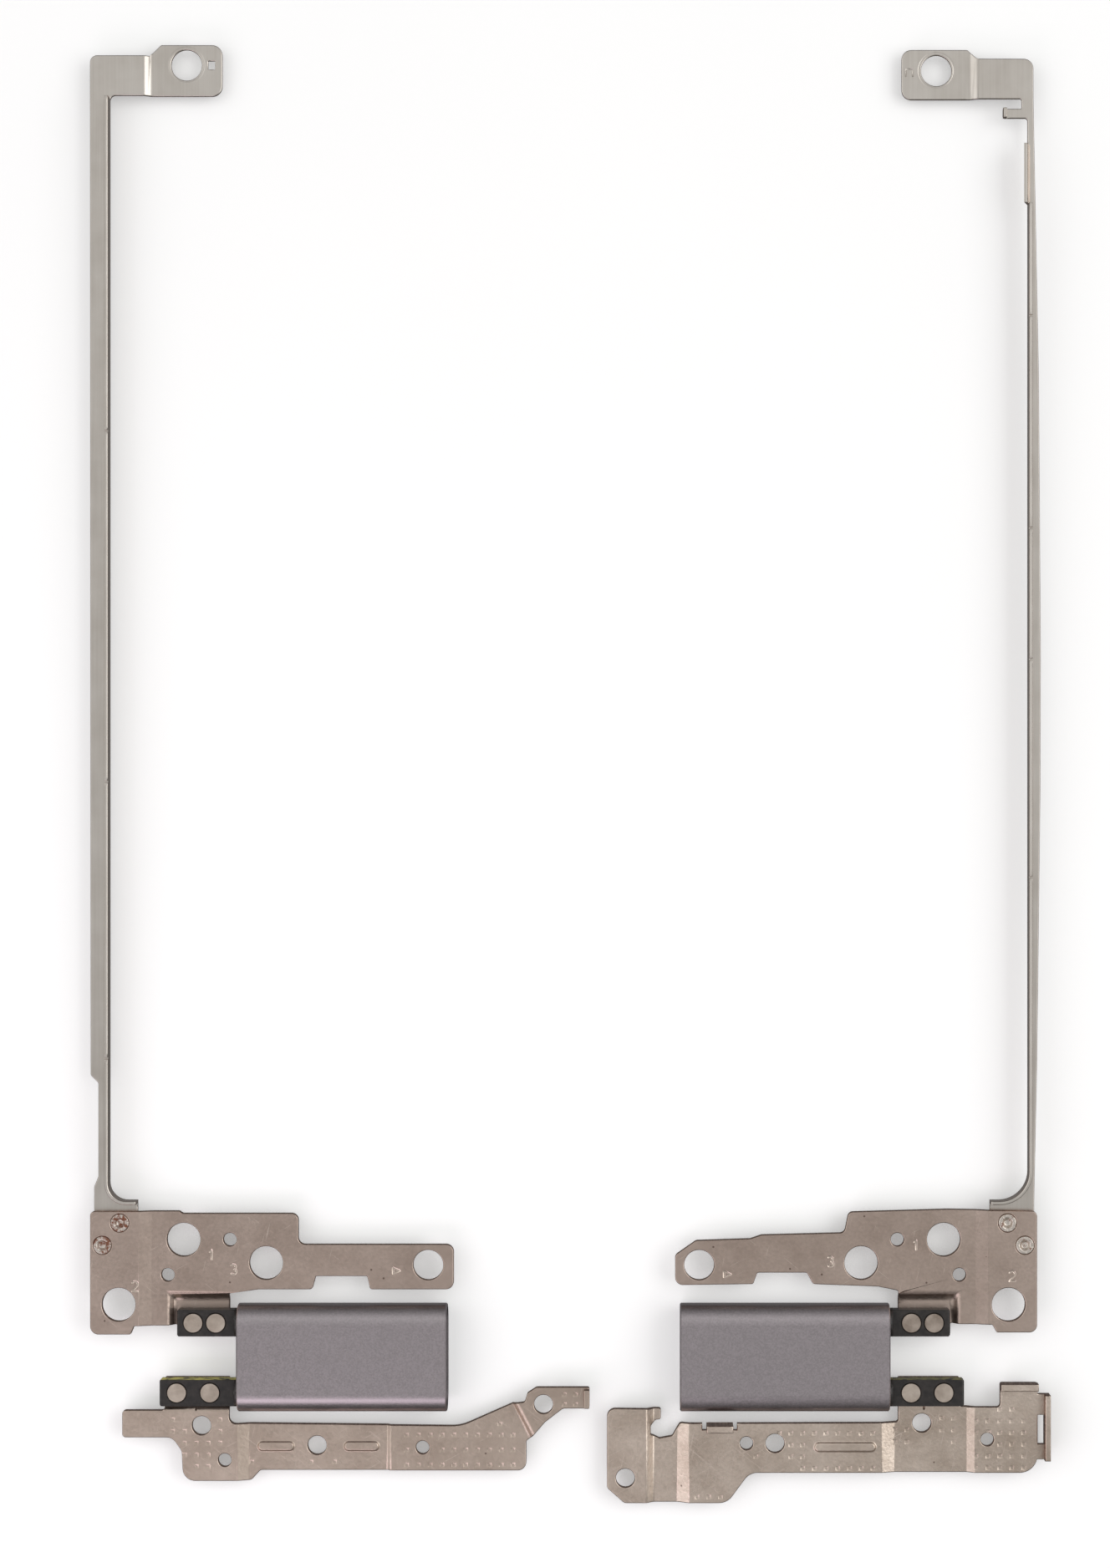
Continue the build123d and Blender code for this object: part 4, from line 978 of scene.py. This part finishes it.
def arc(centre, radius, first, last, count=9):
    """Points on an arc, with angles in degrees."""
    turns = [math.radians(first + (last - first) * step / (count - 1)) for step in range(count)]
    return [(centre[0] + radius * math.cos(turn), centre[1] + radius * math.sin(turn)) for turn in turns]


NUMERALS = {
    "1": ([(-0.2, 0.26), (0, 0.5)], [(0, 0.5), (0, -0.5)]),
    "2": (arc((0, 0.22), 0.28, 160, -35) + [(-0.28, -0.5)], [(-0.28, -0.5), (0.32, -0.5)]),
    "3": (arc((-0.02, 0.24), 0.25, 140, -70), arc((0, -0.22), 0.28, 70, -140)),
    "triangle": ([(-0.34, 0.32), (0.36, 0)], [(0.36, 0), (-0.34, -0.32)], [(-0.34, -0.32), (-0.34, 0.32)]),
}
STAMPS = {
    "left": [("1", -3.8, 9.7), ("3", -0.7, 7.6), ("2", -14.75, 5.25), ("triangle", 22.7, 7.4)],
    "right": [("1", -3.9, 11.1), ("3", 8.4, 8.7), ("2", -17.6, 6.7), ("triangle", 23.2, 6.9)],
}


def groove_points(piece, line):
    """Plan points of a line laid on the upper side of a piece."""
    height = surface_height(piece)
    return [Vector((x, y, height(x, y))) for x, y in line]


def stamp_numerals(side):
    """Stamps the numerals and the triangle of one screen bracket, one stroke after the other."""
    piece = sheets[f"{side}_display_bracket"]
    strokes = []
    for name, inward, up in STAMPS[side]:
        x, y = plan_place(side, "display", inward, up)
        for stroke in NUMERALS[name]:
            line = [(x + px * NUMERAL_MM * MM, y + py * NUMERAL_MM * MM) for px, py in stroke]
            strokes.append(groove_points(piece, line))
    for points in strokes:
        cutter = bmesh.new()
        add_groove(cutter, points, False, *STROKE_MM)
        subtract(piece, cutter, MARK)
    print(side, "strokes:", len(strokes))


for side in SIDES:
    stamp_numerals(side)

# %% [markdown]
# ## Relief slits
#
# Where the sheet bends down beside each lower shaft, the toolmaker cut a short slit across the bend, so that
# the metal there doesn't tear. It is one more groove, laid level across the bend line.

# %% Cut the relief slits
SLIT_INWARD_MM = {"left": -6.15, "right": -5.1}
SLIT_UP_MM = (-2.1, -2.7)
SLIT_MM = (0.3, 0.3)  # width and depth
for side in SIDES:
    piece = sheets[f"{side}_base_bracket"]
    cutter = bmesh.new()
    ends = [plan_place(side, "base", SLIT_INWARD_MM[side], up) for up in SLIT_UP_MM]
    top = max(groove_points(piece, ends), key=lambda point: point.z).z
    add_groove(cutter, [Vector((x, y, top)) for x, y in ends], False, *SLIT_MM)
    subtract(piece, cutter, EDGE)
    print(side, "slit at a height of", round(top / MM, 2), "mm")

# %% [markdown]
# ## Marks on the arms
#
# The die that punched each arm's hole also coined a ring round it, and on the right arm it half-sheared a
# small square flap that the left arm has as an open slot. Both are grooves again, drawn as a circle and
# as three sides of a square.

# %% Coin the arms
ARM_HOLES = {"left": (-7.6, 180.7), "right": (-6.9, 179.9)}
COINED_RING_MM = 2.55
RING_POINTS = 48
RING_GROOVE_MM = (0.26, 0.05)  # width and depth
FLAP_MM = 1.0
FLAP_GROOVE_MM = (0.26, 0.2)
FLAP_PLACE = (-3.0, 179.6)
for side in SIDES:
    piece = sheets[f"{side}_screen_arm"]
    cutter = bmesh.new()
    x, y = plan_place(side, "display", *ARM_HOLES[side])
    ring = arc((x, y), COINED_RING_MM * MM, 0, 360, RING_POINTS + 1)[:-1]
    add_groove(cutter, groove_points(piece, ring), True, *RING_GROOVE_MM)
    if side == "right":
        x, y = plan_place(side, "display", *FLAP_PLACE)
        corners = ((-0.5, -0.5), (-0.5, 0.5), (0.5, 0.5), (0.5, -0.5))
        flap = [(x + px * FLAP_MM * MM, y + py * FLAP_MM * MM) for px, py in corners]
        add_groove(cutter, groove_points(piece, flap), False, *FLAP_GROOVE_MM)
    subtract(piece, cutter, FACE)
    print(side, "ring of", 2 * COINED_RING_MM, "mm round the arm's hole")

# %% [markdown]
# ## Clinch faces
#
# The arm's mesh carries the clinch bosses, so their finish is set face by face: the spread ring is bright
# coined metal, and the torn dimple inside it rusts. Giving finishes to faces avoids a separate piece.

# %% Give the clinches their rust
CLINCHES = ((-16.95, 14.3), (-19.45, 11.1))
CLINCH_RING_MM = 1.45
CLINCH_DIMPLE_MM = 0.84
CLINCH_HEIGHT_MM = 1.2  # over the arm's lowest point; lower faces belong to the strip
for side in SIDES:
    piece = sheets[f"{side}_screen_arm"]
    centres = [Vector((*plan_place(side, "display", *place), 0)) for place in CLINCHES]
    sheet_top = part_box(f"{side}_screen_arm")[0].z + CLINCH_HEIGHT_MM * MM
    counts = {MARK: 0, RUST: 0}
    for polygon in piece.data.polygons:
        flat = Vector((polygon.center.x, polygon.center.y, 0))
        away = min((flat - centre).length for centre in centres)
        if away < CLINCH_RING_MM * MM and polygon.center.z > sheet_top:
            polygon.material_index = RUST if away < CLINCH_DIMPLE_MM * MM else MARK
            counts[polygon.material_index] += 1
    print(piece.name, "ring and dimple faces:", counts)

# %% [markdown]
# ## Flat faces and round ones
#
# Smooth shading blends the normals of neighbouring faces, which bends the light on large flat faces. So only
# small faces are shaded smooth: the facets of hole walls, bends and rims. Large faces stay flat, and a sharp
# edge is kept wherever two faces meet at a clear angle.

# %% Shade small faces smooth
SMOOTH_AREA_MM2 = 0.4
SMOOTH_ANGLE = math.radians(36)
LEVEL_Z = 0.999
for piece in [*sheets.values(), *shafts.values()]:
    piece.data.set_sharp_from_angle(angle=SMOOTH_ANGLE)
    for polygon in piece.data.polygons:
        level = abs(polygon.normal.z) > LEVEL_Z
        polygon.use_smooth = polygon.area < SMOOTH_AREA_MM2 * MM * MM and not level
print("shaded pieces:", len(sheets) + len(shafts))

# %% [markdown]
# ## White table
#
# The hinges lie on a matt white table, lit until it is nearly as white as paper. One plain square does for
# it. A faint glow of its own keeps it white under soft light, and metal doesn't mirror it: a white floor in
# every bend and cut wall would hide them.

# %% Floor
FLOOR_SIZE_MM = 3000


def make_floor():
    """White table with a barely uneven matt coat."""
    material, tree, shader, place = new_material("matt_white_lacquer")
    shade = add_node(tree, "ShaderNodeTexNoise", {"Vector": place, "Scale": per_size(60.0), "Detail": 2.0})
    tint = add_node(tree, "ShaderNodeValToRGB", {"Fac": shade.outputs[0]})
    set_stops(tint, (0.0, "#F6F6F5"), (1.0, "#F9F9F8"))
    tree.links.new(tint.outputs[0], shader.inputs["Base Color"])
    shader.inputs["Roughness"].default_value = 0.8
    shader.inputs["Specular IOR Level"].default_value = 0.2
    shader.inputs["Emission Color"].default_value = colour("#FFFFFF")
    shader.inputs["Emission Strength"].default_value = 0.27
    half = FLOOR_SIZE_MM / 2 * MM
    mesh = bpy.data.meshes.new("table")
    corners = [(-half, -half, 0), (half, -half, 0), (half, half, 0), (-half, half, 0)]
    mesh.from_pydata(corners, [], [(0, 1, 2, 3)])
    mesh.materials.append(material)
    table = bpy.data.objects.new("table", mesh)
    bpy.context.scene.collection.objects.link(table)
    table.visible_glossy = False  # so that metal mirrors a dim room at its edges, not a white table


make_floor()
print("table:", FLOOR_SIZE_MM, "mm square")

# %% [markdown]
# ## Soft light
#
# Metal shows what is around it, so most of the light is a broad grey sky, brightest a little behind the
# hinges. A wide softbox in front of the table gives the sleeves their bright lower band, and two at the
# sides pick out the bends. One bare lamp would leave flat sheet black and burn out its edges.

# %% Light
SKY = [  # direction along Y, and how bright the sky is there; the floor is about 1
    (-1.0, 0.16),
    (-0.6, 0.36),
    (-0.25, 0.46),
    (0.0, 0.57),
    (0.25, 0.64),
    (0.5, 0.78),
    (0.65, 0.68),
    (0.85, 0.44),
    (1.0, 0.22),
]
SOFTBOXES = {
    # place and aim in mm, width and height in mm, brightness, colour
    "front_softbox": ((-235, -250, 175), (-235, 0, 0), (440, 125), 1.5, "#FFF1FC"),
    "right_softbox": ((690, 60, 580), (0, 0, 0), (900, 560), 1.5, "#FFFFFF"),
    "left_softbox": ((-700, 60, 550), (0, 0, 0), (900, 560), 0.6, "#FFFFFF"),
}


def add_softbox(name, place_mm, aim_mm, size_mm, brightness, hex_code):
    """Rectangular area light of a given brightness, aimed at a point on the table."""
    lamp = bpy.data.lights.new(name, "AREA")
    lamp.shape = "RECTANGLE"
    lamp.size = size_mm[0] * MM
    lamp.size_y = size_mm[1] * MM
    lamp.energy = brightness * math.pi * lamp.size * lamp.size_y
    lamp.color = colour(hex_code)[:3]
    box = bpy.data.objects.new(name, lamp)
    box.location = Vector(place_mm) * MM
    box.rotation_euler = (Vector(aim_mm) - Vector(place_mm)).to_track_quat("-Z", "Y").to_euler()
    bpy.context.scene.collection.objects.link(box)


def make_sky():
    """Grey sky overhead that gets dark behind the table, after (direction along Y, brightness) stops."""
    world = bpy.data.worlds.new("studio")
    world.use_nodes = True
    tree = world.node_tree
    towards = add_node(tree, "ShaderNodeTexCoord").outputs["Generated"]
    behind = add_node(tree, "ShaderNodeSeparateXYZ", {"Vector": towards}).outputs["Y"]
    share = add_node(tree, "ShaderNodeMapRange", {"Value": behind, "From Min": -1.0}).outputs[0]
    fade = add_node(tree, "ShaderNodeValToRGB", {"Fac": share})
    stops = fade.color_ramp.elements
    while len(stops) < len(SKY):
        stops.new(0.5)
    for stop, (along_y, brightness) in zip(stops, SKY):
        stop.position = (along_y + 1) / 2
        stop.color = (brightness, brightness, brightness, 1)
    above = add_node(tree, "ShaderNodeSeparateXYZ", {"Vector": towards}).outputs["Z"]
    ground = add_node(
        tree, "ShaderNodeMapRange", {"Value": above, "From Min": -0.05, "From Max": 0.12, "To Min": 0.3}
    )
    background = tree.nodes["Background"]
    tree.links.new(fade.outputs[0], background.inputs["Color"])
    tree.links.new(ground.outputs[0], background.inputs["Strength"])
    bpy.context.scene.world = world


make_sky()
for name, settings in SOFTBOXES.items():
    add_softbox(name, *settings)
bpy.context.scene.view_settings.view_transform = "Standard"
print("softboxes:", len(SOFTBOXES))

# %% [markdown]
# ## Copy-stand camera
#
# The camera looks straight down, as on a copy stand, and about as far away as one. Its lens follows from that
# height and from the size of a picture point on the hinges. It stands a little right of the middle, and
# a shift of the frame brings the pair back to the centre without tilting the view.

# %% Camera
FRAME_PX = (1328, 1876)
MM_PER_PX = 0.12  # size of a picture point on the hinges
CAMERA_HEIGHT_MM = 420
FRAME_CENTRE_MM = (-2.1, -1.5)
CAMERA_RIGHT_MM = 12  # the inner end of the left sleeve shows, so the camera stands right of the middle

camera = bpy.data.cameras.new("copy_stand_camera")
camera.sensor_fit = "VERTICAL"
camera.lens = camera.sensor_height * CAMERA_HEIGHT_MM / (FRAME_PX[1] * MM_PER_PX)
stand = bpy.data.objects.new("copy_stand_camera", camera)
level = sum(corner.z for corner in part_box("left_sleeve")) / 2
stand.location = (
    (FRAME_CENTRE_MM[0] + CAMERA_RIGHT_MM) * MM,
    FRAME_CENTRE_MM[1] * MM,
    CAMERA_HEIGHT_MM * MM + level,
)
camera.shift_x = -CAMERA_RIGHT_MM / (FRAME_PX[1] * MM_PER_PX)
bpy.context.scene.collection.objects.link(stand)
bpy.context.scene.camera = stand
print("lens:", round(camera.lens, 1), "mm")
